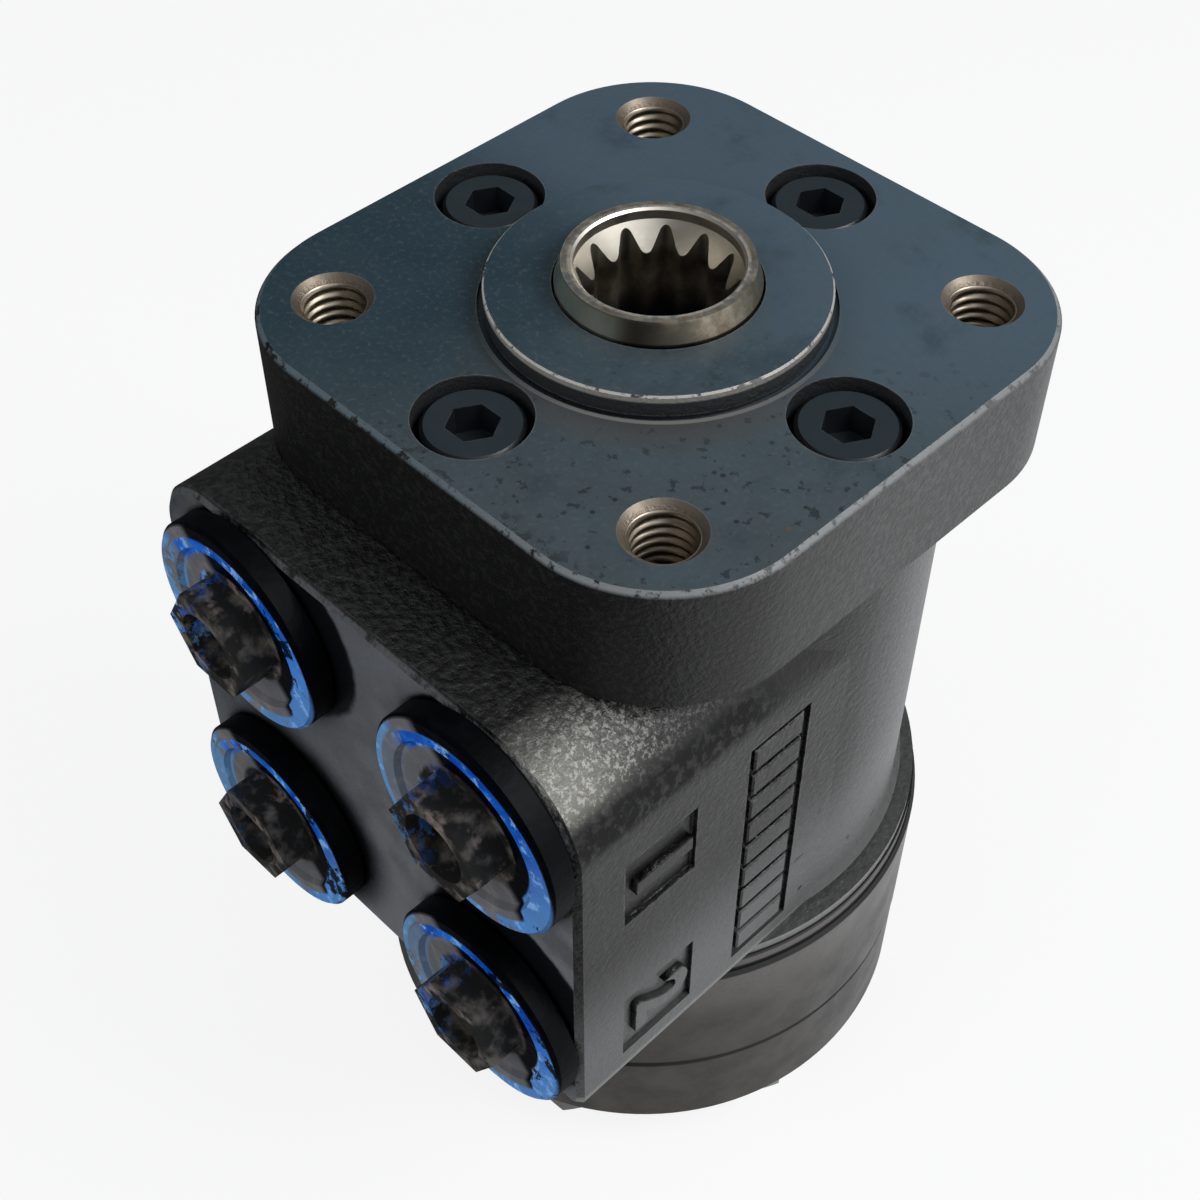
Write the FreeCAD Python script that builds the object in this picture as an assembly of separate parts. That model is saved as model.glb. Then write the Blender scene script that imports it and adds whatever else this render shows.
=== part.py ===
import FreeCAD, Part
import math
import os

# Orbital steering unit: a rotary valve and gerotor metering pump in one body.
# It stands with its input spline upwards. The origin is the centre of the mounting face, on
# the spool's axis. +Z points up at the steering column and the port face looks along -Y.
# Lengths are in millimetres and angles in degrees.

# Heights of the stack's joint faces
plate_bottom = -19.0
housing_bottom = -89.5
spacer_bottom = -92.5
ring_bottom = -116.7
cap_bottom = -134.9

# Mounting plate
plate_half = 42.0
plate_corner_r = 20.0
plate_bevel = 0.7
bolt_circle_d = 82.5
mount_hole_r = 4.25
mount_mouth_r = 5.3
mount_hole_depth = 16.5
drill_point = 1.5
pilot_r = 22.2
pilot_height = 3.0
pilot_chamfer = 0.25
relief_r = 23.0
relief_undercut_r = 21.9
relief_depth = 0.8
bearing_pocket_r = 21.2
bearing_pocket_top = -14.05
shaft_seal_pocket_r = 17.2
shaft_seal_pocket_top = -8.5
neck_hole_r = 13.7
boss_mouth_r = 13.5
dust_seal_groove_r = 16.4
dust_seal_groove_top = 1.2
dust_seal_groove_floor = -2.4
lip_gap = 0.03

# Lips of the wiper and of the shaft seal, from the neck outwards
wiper_foot = 2.0
wiper_edge = 0.4
wiper_rise = 1.1
wiper_width = 0.24
seal_end_gap = 0.1
seal_lip_height = 2.2
seal_lip_width = 1.0
seal_valley = 2.0
seal_valley_r = 1.6
seal_wall_r = 2.4
seal_back_r = 0.6

# Socket head screws that hold the plate, M8 x 35
plate_screw_circle_r = 31.6
counterbore_r = 7.5
counterbore_depth = 9.0
m8_r = 4.0
m8_clearance_r = 4.3
socket_head_r = 6.5
socket_head_height = 8.0
socket_flats = 6.0
socket_depth = 4.0
head_chamfer = 0.5
tip_chamfer = 0.8
plate_screw_length = 35.0

# Housing
body_r = 40.0
lip_r = 41.0
lip_top = 4.6
lip_low = 3.4
undercut_r = 39.4
undercut_top = 2.8
undercut_low = 2.0
foot_r = 43.2
foot_height = 1.6
block_half = 39.8
port_face_y = -53.4
block_corner_right_r = 14.5
block_corner_left_r = 11.0
block_corner_low_r = 2.0
block_edge = 0.9

# Ports, G 1/2 minor bore
ports = {"upper_right": (24.0, -34.0), "upper_left": (-20.5, -34.0),
         "lower_right": (24.0, -76.0), "lower_left": (-20.5, -76.0)}
port_r = 9.3
port_mouth_r = 10.5
port_depth = 17.0
drilling_r = 3.5
drilling_depth = 6.0
tapping_spare = 1.0

# Raised-letter panels on the +X side: low y, high y, low z, high z
panels = [(-45.3, -32.5, -51.5, -38.4), (-45.1, -31.7, -84.0, -70.0), (-23.0, -11.5, -84.5, -36.0)]
panel_depth = 0.8

# Spool and sleeve
neck_r = 13.2
neck_top = 6.2
neck_taper_low = 3.4
neck_bottom = -17.0
rim_r = 12.35
spool_r = 14.0
spool_shoulder = -18.6
spool_bottom = -84.0
spool_hollow_r = 10.8
sleeve_inner_r = 14.03
sleeve_r = 18.5
sleeve_bore_r = 18.53
sleeve_top = -17.95
sleeve_bottom = -89.3
spool_twist = 8.0
spool_groove_low = -75.0
spool_groove_high = -70.0
spool_groove_depth = 1.2
spool_flutes = 6
spool_flute_width = 3.0
spool_flute_top = -56.5
# Oil grooves round the sleeve, by the height of their middles
sleeve_grooves = [-79.0, -72.5, -59.0, -52.0, -36.0]
sleeve_groove_half = 1.6
sleeve_groove_depth = 1.2
# Height, number of holes, first angle and radius of each row of the sleeve's holes
sleeve_holes = [(-66.0, 12, 0.0, 1.3), (-36.0, 6, 30.0, 1.2), (-52.0, 6, 30.0, 1.2), (-72.5, 6, 30.0, 1.2)]

# Input spline, twelve teeth 16/32 diametral pitch
spline_teeth = 12
spline_minor_r = 8.73
spline_major_r = 10.45
spline_space_angle = 8.6
spline_space_half = 4.2
spline_tooth_half = 5.0
spline_crown = 0.3
spline_floor = -20.0
spline_cone_top = 4.6
spline_cone_bottom = 0.7
spline_mouth_r = 10.8
spline_mouth_chamfer = 0.3

# Cross pin and leaf springs
pin_z = -44.0
pin_r = 4.0
pin_half_length = 17.9
pin_play = 0.01
pin_nose = 1.2
pin_nose_drop = 0.9
pin_window_r = 6.15
spring_slot_half = 2.75
spring_slot_top = -21.0
spring_slot_bottom = -26.5
leaf_thickness = 0.7
leaf_half_length = 17.1
leaf_bow = 0.55
spring_groove_r = 17.3
spring_groove_margin = 0.6
spring_ring_inner_r = 17.35
spring_ring_outer_r = 18.4
spring_ring_clearance = 0.2
leaf_gap = 0.01

# Gerotor set: seven lobes in the ring, six on the star
lobes = 7
lobe_circle_r = 27.0
lobe_r = 8.0
eccentricity = 2.6
pocket_r = 24.4
rotor_gap = 0.05
star_points_per_lobe = 20
first_lobe_angle = 90.0
ring_r = 44.2
ring_chamfer = 0.5
rotor_face_gap = 0.03

# Spacer plate, end cap and their screws, seven M8 x 60
spacer_plate_r = 43.5
spacer_hole_r = 10.0
slot_inner_r = 20.3
slot_outer_r = 27.0
slot_width = 3.2
end_cap_r = 44.1
cap_chamfer = 1.5
cap_recess_r = 18.0
cap_recess = 1.2
end_screw_circle_r = 34.2
end_screw_tip = -76.5
washer_thickness = 1.6
washer_r = 7.5
hex_head_flats = 13.0
hex_head_height = 5.3
hex_crown_width = 1.2
hex_crown_height = 0.7

# O-rings between the stacked faces
face_seal_r = 28.5
face_seal_half = 0.8
face_seal_height = 1.3
plate_seal_r = 25.0
plate_seal_half = 1.1
plate_seal_height = 1.8

# Needle bearing between the plate and the sleeve
race_r = 20.6
bearing_top = -15.15
bearing_bottom = -16.95
race_gap = 0.05
cage_r = 20.2
cage_bore_r = 14.6
cage_half = 0.4
needle_count = 14
needle_inner_end = 15.4
needle_outer_end = 19.4

# Cardan shaft
shaft_head_r = 9.6
shaft_r = 7.2
fork_top = 10.5
fork_chamfer = 1.5
fork_bottom = -11.0
fork_taper = 4.0
fork_slot_half = 4.15
fork_slot_floor = -0.7
drive_z = -106.0
drive_half_width = 5.0
drive_tip_r = 9.35
drive_root_r = 7.45
star_spline_root_r = 9.8
star_spline_tip_r = 7.95
drive_barrel_half = 1.5
drive_barrel_drop = 0.25
drive_end_chamfer = 0.5
drive_end_rise = 0.8
drive_collar_drop = 0.4
drive_tip_half = 4.6
drive_root_half = 5.5
star_spline_root_half = 5.4
star_spline_tip_half = 4.7

# Disc under the shaft that keeps it up in the star
disc_r = 7.6
disc_height = 3.4
disc_chamfer = 0.4

# Check ball in the upper right port
ball_r = 4.4
ball_lift = 1.2
ball_gap = 0.02
ball_stop_thickness = 1.2
ball_stop_hole_r = 2.0
ball_stop_hole_circle_r = 6.2

# Shipping plugs
plug_flange_r = 16.0
plug_flange_thickness = 4.0
plug_rim_width = 3.7
plug_face_drop = 0.8
plug_grip_flats = 14.0
plug_grip_height = 4.4
plug_shank_length = 7.0
plug_floor = 2.0
plug_hollow_r = 5.0
plug_gap = 0.05
plug_edge = 0.5
plug_lead = 1.2
plug_lead_drop = 0.55

Vector = FreeCAD.Vector
centre = Vector(0, 0, 0)
x_axis = Vector(1, 0, 0)
y_axis = Vector(0, 1, 0)
z_axis = Vector(0, 0, 1)


def point_at(radius, angle, z=0.0):
    """Point at a radius and an angle from +X."""
    return Vector(radius * math.cos(math.radians(angle)), radius * math.sin(math.radians(angle)), z)


def prism(wire, height):
    """Solid between a flat wire and its copy a height above."""
    return Part.Face(wire).extrude(Vector(0, 0, height))


def turned(profile, x=0.0, y=0.0):
    """Solid of revolution about a vertical axis from a closed list of radius and height."""
    corners = [Vector(r, 0, z) for r, z in profile]
    face = Part.Face(Part.makePolygon(corners + corners[:1]))
    solid = face.revolve(centre, z_axis, 360)
    solid.translate(Vector(x, y, 0))
    return solid


def upright(x, y, low, high, radius):
    """Vertical cylinder between two heights."""
    return Part.makeCylinder(radius, high - low, Vector(x, y, low))


def between(start, end, radius):
    """Cylinder from one point to another."""
    along = Vector(*end) - Vector(*start)
    return Part.makeCylinder(radius, along.Length, Vector(*start), along)


def band(outer_r, inner_r, low, high):
    """Plain ring about the spool's axis."""
    return turned([(inner_r, low), (outer_r, low), (outer_r, high), (inner_r, high)])


def seal_groove(radius, half, low, high):
    """Cut for an O-ring about the spool's axis."""
    return band(radius + half, radius - half, low, high)


def hexagon(flats, low, height, x=0.0, y=0.0):
    """Upright hexagonal prism across the given flats."""
    corner_r = flats / math.sqrt(3)
    corners = [point_at(corner_r, 60 * k, low) + Vector(x, y, 0) for k in range(6)]
    return prism(Part.makePolygon(corners + corners[:1]), height)


def toothed_wire(teeth, r_a, half_a, r_b, half_b, phase, z, crown=0.0):
    """Closed outline of arcs at two radii in turn, joined by straight flanks. Each arc's ends stand
    nearer to the pitch circle than its middle by the crown."""
    edges = []
    step = 360.0 / teeth
    for k in range(teeth):
        a = phase + k * step
        b = a + step / 2
        end_a = r_a - crown
        end_b = r_b + crown
        a_arc = [point_at(end_a, a - half_a, z), point_at(r_a, a, z), point_at(end_a, a + half_a, z)]
        b_arc = [point_at(end_b, b - half_b, z), point_at(r_b, b, z), point_at(end_b, b + half_b, z)]
        edges.append(Part.Arc(*a_arc).toShape())
        edges.append(Part.LineSegment(a_arc[2], b_arc[0]).toShape())
        edges.append(Part.Arc(*b_arc).toShape())
        edges.append(Part.LineSegment(b_arc[2], point_at(end_a, a + step - half_a, z)).toShape())
    return Part.Wire(edges)


def turned_to_port(shape, x, z):
    """Moves a shape built upwards from the origin so that it points out of the port face."""
    shape.rotate(centre, x_axis, 90)
    shape.translate(Vector(x, port_face_y, z))
    return shape


def joined(shapes):
    return shapes[0].multiFuse(shapes[1:]).removeSplitter()


def save(name, shape):
    shape.exportStep("parts/" + name + ".step")


def lobe_angles():
    return [first_lobe_angle + k * 360.0 / lobes for k in range(lobes)]


def pocket_angles():
    return [a + 180.0 / lobes for a in lobe_angles()]


def mount_hole_places():
    return [point_at(bolt_circle_d / 2, 45 + 90 * k) for k in range(4)]


def plate_screw_places():
    return [point_at(plate_screw_circle_r, 90 * k) for k in range(4)]


def end_screw_places():
    return [point_at(end_screw_circle_r, a) for a in lobe_angles()]


def ball_seat_drop():
    """Distance from the ball's centre down to the edge of the drilling that it closes."""
    return math.sqrt(ball_r ** 2 - drilling_r ** 2)


def mounting_plate():
    height = -plate_bottom
    plate = Part.makeBox(2 * plate_half, 2 * plate_half, height,
                         Vector(-plate_half, -plate_half, plate_bottom))
    corners = [e for e in plate.Edges if abs(e.Vertexes[0].Z - e.Vertexes[1].Z) > height / 2]
    plate = plate.makeFillet(plate_corner_r, corners)
    rim = [e for e in plate.Edges if min(v.Z for v in e.Vertexes) > -plate_bevel / 2]
    plate = plate.makeChamfer(plate_bevel, rim)
    relief = band(relief_r, relief_undercut_r, -relief_depth, 1)
    boss = turned([(0, -relief_depth), (relief_undercut_r, -relief_depth), (relief_undercut_r, 0),
                   (pilot_r, 0), (pilot_r, pilot_height - pilot_chamfer),
                   (pilot_r - pilot_chamfer, pilot_height), (0, pilot_height)])
    plate = plate.cut(relief).fuse(boss)
    bore = turned([(0, plate_bottom - 1), (bearing_pocket_r, plate_bottom - 1),
                   (bearing_pocket_r, bearing_pocket_top), (shaft_seal_pocket_r, bearing_pocket_top),
                   (shaft_seal_pocket_r, shaft_seal_pocket_top), (neck_hole_r, shaft_seal_pocket_top),
                   (neck_hole_r, dust_seal_groove_floor), (dust_seal_groove_r, dust_seal_groove_floor),
                   (dust_seal_groove_r, dust_seal_groove_top), (boss_mouth_r, dust_seal_groove_top),
                   (boss_mouth_r, pilot_height + 1), (0, pilot_height + 1)])
    groove_top = plate_bottom + plate_seal_height
    cuts = [bore, seal_groove(plate_seal_r, plate_seal_half, plate_bottom - 1, groove_top)]
    chamfer = mount_mouth_r - mount_hole_r
    for p in mount_hole_places():
        tip = -mount_hole_depth - drill_point
        cuts.append(turned([(0, 1), (mount_mouth_r + 1, 1), (mount_hole_r, -chamfer),
                            (mount_hole_r, -mount_hole_depth), (0, tip)], p.x, p.y))
    for p in plate_screw_places():
        cuts.append(turned([(0, 1), (counterbore_r, 1), (counterbore_r, -counterbore_depth),
                            (m8_clearance_r, -counterbore_depth), (m8_clearance_r, plate_bottom - 1),
                            (0, plate_bottom - 1)], p.x, p.y))
    return plate.cut(Part.makeCompound(cuts))


def mounting_plate_screws():
    seat = -counterbore_depth
    top = seat + socket_head_height
    screws = []
    for p in plate_screw_places():
        tip = seat - plate_screw_length
        screw = turned([(0, tip), (m8_r - tip_chamfer, tip), (m8_r, tip + tip_chamfer), (m8_r, seat),
                        (socket_head_r, seat), (socket_head_r, top - head_chamfer),
                        (socket_head_r - head_chamfer, top), (0, top)], p.x, p.y)
        screws.append(screw.cut(hexagon(socket_flats, top - socket_depth, socket_depth + 1, p.x, p.y)))
    return Part.makeCompound(screws)


def dust_seal():
    """Wiper in the boss's groove, with its lip standing up round the neck."""
    lip = neck_r + lip_gap
    low = dust_seal_groove_floor
    high = dust_seal_groove_top
    return turned([(lip, low + wiper_foot), (lip, high + wiper_edge),
                   (lip + wiper_width / 2, high + wiper_rise), (lip + wiper_width, high),
                   (dust_seal_groove_r, high), (dust_seal_groove_r, low), (neck_hole_r, low)])


def shaft_seal():
    """Seal with a pressed-in outer wall and two lips that run on the neck."""
    low = bearing_pocket_top + seal_end_gap
    high = shaft_seal_pocket_top
    lip = neck_r + lip_gap
    return turned([(lip, low + seal_lip_height), (lip + seal_lip_width, low),
                   (lip + seal_valley_r, low + seal_valley), (lip + seal_wall_r, low),
                   (shaft_seal_pocket_r, low), (shaft_seal_pocket_r, high), (lip + seal_back_r, high)])


def face_seal(radius, half, height, low):
    """O-ring squeezed flat between two faces, as a six-sided section."""
    ease = 0.35 * half
    inner, outer = radius - half, radius + half
    middle, top = low + height / 2, low + height
    return turned([(inner + ease, low), (outer - ease, low), (outer, middle), (outer - ease, top),
                   (inner + ease, top), (inner, middle)])


def port_block():
    """Cast block behind the port face, with its upper corners rounded about the ports."""
    top, low, half = plate_bottom, housing_bottom, block_half
    right, left, foot = block_corner_right_r, block_corner_left_r, block_corner_low_r
    bend = math.sqrt(0.5)

    def at(x, z):
        return Vector(x, port_face_y, z)

    def corner(cx, cz, radius, side, up):
        start = at(cx + side * radius, cz) if side * up > 0 else at(cx, cz + up * radius)
        end = at(cx, cz + up * radius) if side * up > 0 else at(cx + side * radius, cz)
        return Part.Arc(start, at(cx + side * radius * bend, cz + up * radius * bend), end).toShape()

    edges = [Part.LineSegment(at(half, low + foot), at(half, top - right)).toShape(),
             corner(half - right, top - right, right, 1, 1),
             Part.LineSegment(at(half - right, top), at(left - half, top)).toShape(),
             corner(left - half, top - left, left, -1, 1),
             Part.LineSegment(at(-half, top - left), at(-half, low + foot)).toShape(),
             corner(foot - half, low + foot, foot, -1, -1),
             Part.LineSegment(at(foot - half, low), at(half - foot, low)).toShape(),
             corner(half - foot, low + foot, foot, 1, -1)]
    block = Part.Face(Part.Wire(edges)).extrude(Vector(0, -port_face_y, 0))
    front = [e for e in block.Edges if all(abs(v.Y - port_face_y) < 0.01 for v in e.Vertexes)]
    return block.makeChamfer(block_edge, front)


def housing_body():
    """Casting round the spool bore, which turns out to a thin foot on the spacer plate."""
    low = housing_bottom
    body = turned([(0, plate_bottom), (body_r, plate_bottom), (body_r, low + lip_top),
                   (lip_r, low + lip_low), (undercut_r, low + undercut_top),
                   (undercut_r, low + undercut_low), (foot_r, low + foot_height), (foot_r, low), (0, low)])
    return body.fuse(port_block())


def housing():
    """Body with its sleeve bore, the four ports and the tapped holes."""
    low = housing_bottom
    cuts = [upright(0, 0, low - 1, plate_bottom + 1, sleeve_bore_r)]
    mouth = port_mouth_r - port_r
    drilling_floor = -port_depth - drilling_depth
    for x, z in ports.values():
        port = turned([(0, 1), (port_mouth_r + 1, 1), (port_r, -mouth), (port_r, -port_depth),
                       (drilling_r, -port_depth), (drilling_r, drilling_floor), (0, drilling_floor)])
        cuts.append(turned_to_port(port, x, z))
    for p in plate_screw_places():
        floor = -counterbore_depth - plate_screw_length - tapping_spare
        cuts.append(upright(p.x, p.y, floor, plate_bottom + 1, m8_r))
    for p in end_screw_places():
        cuts.append(upright(p.x, p.y, low - 1, end_screw_tip + tapping_spare, m8_r))
    for y0, y1, z0, z1 in panels:
        recess_x = block_half - panel_depth
        cuts.append(Part.makeBox(1 + panel_depth, y1 - y0, z1 - z0, Vector(recess_x, y0, z0)))
    return housing_body().cut(Part.makeCompound(cuts))


def spring_slot():
    """Slot for the leaf springs, right across the spool and sleeve along Y."""
    return Part.makeBox(2 * spring_slot_half, 4 * sleeve_r, spring_slot_top - spring_slot_bottom,
                        Vector(-spring_slot_half, -2 * sleeve_r, spring_slot_bottom))


def spool():
    blank_r = spline_minor_r - spline_crown
    hollow_top = spline_floor - 1.5
    body = turned([(blank_r, neck_top), (rim_r, neck_top), (neck_r, neck_taper_low), (neck_r, neck_bottom),
                   (spool_r, spool_shoulder), (spool_r, spool_bottom), (spool_hollow_r, spool_bottom),
                   (spool_hollow_r, hollow_top), (blank_r, spline_floor)])
    outline = toothed_wire(spline_teeth, spline_major_r, spline_space_half, spline_minor_r,
                           spline_tooth_half, spline_space_angle, hollow_top - 1, spline_crown)
    spline = prism(outline, neck_top - hollow_top)
    chamfer = spline_mouth_chamfer
    mouth = turned([(0, neck_top + 1), (spline_mouth_r + chamfer + 1, neck_top + 1),
                    (spline_mouth_r, neck_top - chamfer), (spline_mouth_r, spline_cone_top),
                    (spline_minor_r, spline_cone_bottom), (0, spline_cone_bottom)])
    groove = band(spool_r + 1, spool_r - spool_groove_depth, spool_groove_low, spool_groove_high)
    window = between((-sleeve_r, 0, pin_z), (sleeve_r, 0, pin_z), pin_window_r)
    cuts = [spline, mouth, window, groove]
    for turn in (-spool_twist - 1, spool_twist + 1):
        slot = spring_slot()
        slot.rotate(centre, z_axis, turn)
        cuts.append(slot)
    flute_low = spool_groove_high - 0.5
    for k in range(spool_flutes):
        flute = Part.makeBox(2 * spool_groove_depth, spool_flute_width, spool_flute_top - flute_low,
                             Vector(spool_r - spool_groove_depth, -spool_flute_width / 2, flute_low))
        flute.rotate(centre, z_axis, 360.0 * (k + 0.5) / spool_flutes)
        cuts.append(flute)
    return body.cut(Part.makeCompound(cuts))


def sleeve():
    body = band(sleeve_r, sleeve_inner_r, sleeve_bottom, sleeve_top)
    side = 2 * sleeve_r
    spring_groove = band(sleeve_r + 1, spring_groove_r, spring_slot_bottom - spring_groove_margin,
                         spring_slot_top + spring_groove_margin)
    cuts = [spring_slot(), spring_groove, between((-side, 0, pin_z), (side, 0, pin_z), pin_r)]
    for z in sleeve_grooves:
        cuts.append(band(sleeve_r + 1, sleeve_r - sleeve_groove_depth, z - sleeve_groove_half,
                         z + sleeve_groove_half))
    for z, count, first, radius in sleeve_holes:
        for k in range(count // 2):
            reach = point_at(side, first + k * 360 / count, z)
            back = Vector(-reach.x, -reach.y, z)
            cuts.append(between(back, reach, radius))
    return body.cut(Part.makeCompound(cuts))


def spring_ring():
    """Band in the sleeve's groove that keeps the springs from sliding out."""
    low = spring_slot_bottom - spring_groove_margin + spring_ring_clearance
    high = spring_slot_top + spring_groove_margin - spring_ring_clearance
    return band(spring_ring_outer_r, spring_ring_inner_r, low, high)


def cross_pin():
    end = pin_half_length
    shoulder = end - pin_nose
    shank_r = pin_r - pin_play
    nose_r = pin_r - pin_nose_drop
    pin = turned([(0, -end), (nose_r, -end), (shank_r, -shoulder), (shank_r, shoulder), (nose_r, end),
                  (0, end)])
    pin.rotate(centre, y_axis, 90)
    pin.translate(Vector(0, 0, pin_z))
    return pin


def leaf(inner_middle, bow, side):
    """One leaf of a centring spring, its ends bowed away from the middle of the slot."""
    low = spring_slot_bottom + 0.1

    def at(x, y):
        return Vector(side * x, y, low)

    reach = leaf_half_length
    outer_middle = inner_middle + leaf_thickness
    if bow == 0:
        corners = [at(inner_middle, -reach), at(outer_middle, -reach), at(outer_middle, reach),
                   at(inner_middle, reach)]
        wire = Part.makePolygon(corners + corners[:1])
    else:
        near = [at(inner_middle + bow, -reach), at(inner_middle, 0), at(inner_middle + bow, reach)]
        far = [at(outer_middle + bow, reach), at(outer_middle, 0), at(outer_middle + bow, -reach)]
        wire = Part.Wire([Part.Arc(*near).toShape(), Part.LineSegment(near[2], far[0]).toShape(),
                          Part.Arc(*far).toShape(), Part.LineSegment(far[2], near[0]).toShape()])
    return prism(wire, spring_slot_top - spring_slot_bottom - 0.2)


def centring_springs():
    pitch = leaf_thickness + leaf_gap
    leaves = []
    for side in (-1, 1):
        leaves.append(leaf(leaf_gap, 0, side))
        leaves.append(leaf(leaf_gap + pitch, leaf_bow, side))
        leaves.append(leaf(leaf_gap + 2 * pitch, leaf_bow, side))
    return Part.makeCompound(leaves)


def cardan_shaft():
    """Fork on the cross pin at the origin, crowned spline below, then tilted at the star."""
    reach = math.hypot(pin_z - drive_z, eccentricity)
    end = -reach - drive_half_width
    collar = -reach + drive_half_width
    crown = drive_tip_r - drive_barrel_drop
    blank = turned([(0, fork_top), (shaft_head_r - fork_chamfer, fork_top),
                    (shaft_head_r, fork_top - fork_chamfer), (shaft_head_r, fork_bottom),
                    (shaft_r, fork_bottom - fork_taper), (shaft_r, collar), (0, collar)])
    outline = toothed_wire(spline_teeth, drive_tip_r, drive_tip_half, drive_root_r, drive_root_half, 0, end)
    barrel = turned([(0, end), (crown - drive_end_chamfer, end), (crown, end + drive_end_rise),
                     (drive_tip_r, -reach - drive_barrel_half), (drive_tip_r, -reach + drive_barrel_half),
                     (crown, collar - drive_collar_drop), (shaft_r, collar), (0, collar)])
    shaft = blank.fuse(prism(outline, 2 * drive_half_width).common(barrel))
    side = 2 * shaft_head_r
    slot = Part.makeBox(2 * side, 2 * fork_slot_half, 2 * fork_top,
                        Vector(-side, -fork_slot_half, fork_slot_floor))
    floor = between((-side, 0, fork_slot_floor), (side, 0, fork_slot_floor), fork_slot_half)
    shaft = shaft.cut(slot.fuse(floor)).removeSplitter()
    tilt = math.degrees(math.atan2(eccentricity, pin_z - drive_z))
    shaft.rotate(centre, y_axis, -tilt)
    shaft.translate(Vector(0, 0, pin_z))
    return shaft


def rotor_spacer():
    low = ring_bottom + rotor_face_gap
    high = low + disc_height
    inner_r = disc_r - disc_chamfer
    disc = turned([(0, low), (inner_r, low), (disc_r, low + disc_chamfer), (disc_r, high - disc_chamfer),
                   (inner_r, high), (0, high)])
    disc.translate(Vector(eccentricity, 0, 0))
    return disc


def star_outline(z):
    """Arcs along the curve one lobe radius inside the path of a ring lobe's centre, seen from the star."""
    points = []
    count = star_points_per_lobe * (lobes - 1)
    phase = math.radians(lobes * first_lobe_angle)
    for k in range(count):
        a = 2 * math.pi * k / count
        b = lobes * a - phase
        x = lobe_circle_r * math.cos(a) - eccentricity * math.cos(b)
        y = lobe_circle_r * math.sin(a) - eccentricity * math.sin(b)
        along_x = -lobe_circle_r * math.sin(a) + lobes * eccentricity * math.sin(b)
        along_y = lobe_circle_r * math.cos(a) - lobes * eccentricity * math.cos(b)
        inwards = (lobe_r + rotor_gap) / math.hypot(along_x, along_y)
        points.append(Vector(x - along_y * inwards + eccentricity, y + along_x * inwards, z))
    points.append(points[0])
    return Part.Wire([Part.Arc(*points[k:k + 3]).toShape() for k in range(0, count, 2)])


def gerotor_star():
    low = ring_bottom + rotor_face_gap
    height = spacer_bottom - ring_bottom - 2 * rotor_face_gap
    star = prism(star_outline(low), height)
    outline = toothed_wire(spline_teeth, star_spline_root_r, star_spline_root_half, star_spline_tip_r,
                           star_spline_tip_half, 0, low - 1)
    spline = prism(outline, height + 2)
    spline.translate(Vector(eccentricity, 0, 0))
    return star.cut(spline)


def gerotor_ring():
    edges = []
    spread = math.degrees(math.acos((lobe_circle_r ** 2 + pocket_r ** 2 - lobe_r ** 2)
                                    / (2 * lobe_circle_r * pocket_r)))
    step = 360.0 / lobes
    z = ring_bottom
    for a in lobe_angles():
        start = point_at(pocket_r, a - spread, z)
        end = point_at(pocket_r, a + spread, z)
        edges.append(Part.Arc(start, point_at(lobe_circle_r - lobe_r, a, z), end).toShape())
        edges.append(Part.Arc(end, point_at(pocket_r, a + step / 2, z),
                              point_at(pocket_r, a + step - spread, z)).toShape())
    height = spacer_bottom - ring_bottom
    cavity = prism(Part.Wire(edges), height)
    edge = ring_chamfer
    body = turned([(0, z), (ring_r - edge, z), (ring_r, z + edge), (ring_r, z + height - edge),
                   (ring_r - edge, z + height), (0, z + height)])
    groove_floor = spacer_bottom - face_seal_height
    cuts = [cavity, seal_groove(face_seal_r, face_seal_half, groove_floor, spacer_bottom + 1)]
    cuts += [upright(p.x, p.y, z - 1, spacer_bottom + 1, m8_clearance_r) for p in end_screw_places()]
    return body.cut(Part.makeCompound(cuts))


def spacer_plate():
    """Flat plate with the shaft's hole and a slot over each of the ring's pockets."""
    low = spacer_bottom - 1
    high = housing_bottom + 1
    plate = upright(0, 0, spacer_bottom, housing_bottom, spacer_plate_r)
    groove_floor = housing_bottom - face_seal_height
    cuts = [upright(0, 0, low, high, spacer_hole_r),
            seal_groove(face_seal_r, face_seal_half, groove_floor, high)]
    cuts += [upright(p.x, p.y, low, high, m8_clearance_r) for p in end_screw_places()]
    for a in pocket_angles():
        slot = Part.makeBox(slot_outer_r - slot_inner_r, slot_width, high - low,
                            Vector(slot_inner_r, -slot_width / 2, low))
        slot.rotate(centre, z_axis, a)
        cuts.append(slot)
    return plate.cut(Part.makeCompound(cuts))


def end_cap():
    low = cap_bottom
    edge = ring_chamfer
    floor = low + cap_recess
    body = turned([(0, floor), (cap_recess_r, floor), (cap_recess_r + cap_recess, low),
                   (end_cap_r - cap_chamfer, low), (end_cap_r, low + cap_chamfer),
                   (end_cap_r, ring_bottom - edge), (end_cap_r - edge, ring_bottom), (0, ring_bottom)])
    groove_floor = ring_bottom - face_seal_height
    cuts = [seal_groove(face_seal_r, face_seal_half, groove_floor, ring_bottom + 1)]
    cuts += [upright(p.x, p.y, low - 1, ring_bottom + 1, m8_clearance_r) for p in end_screw_places()]
    return body.cut(Part.makeCompound(cuts))


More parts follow.
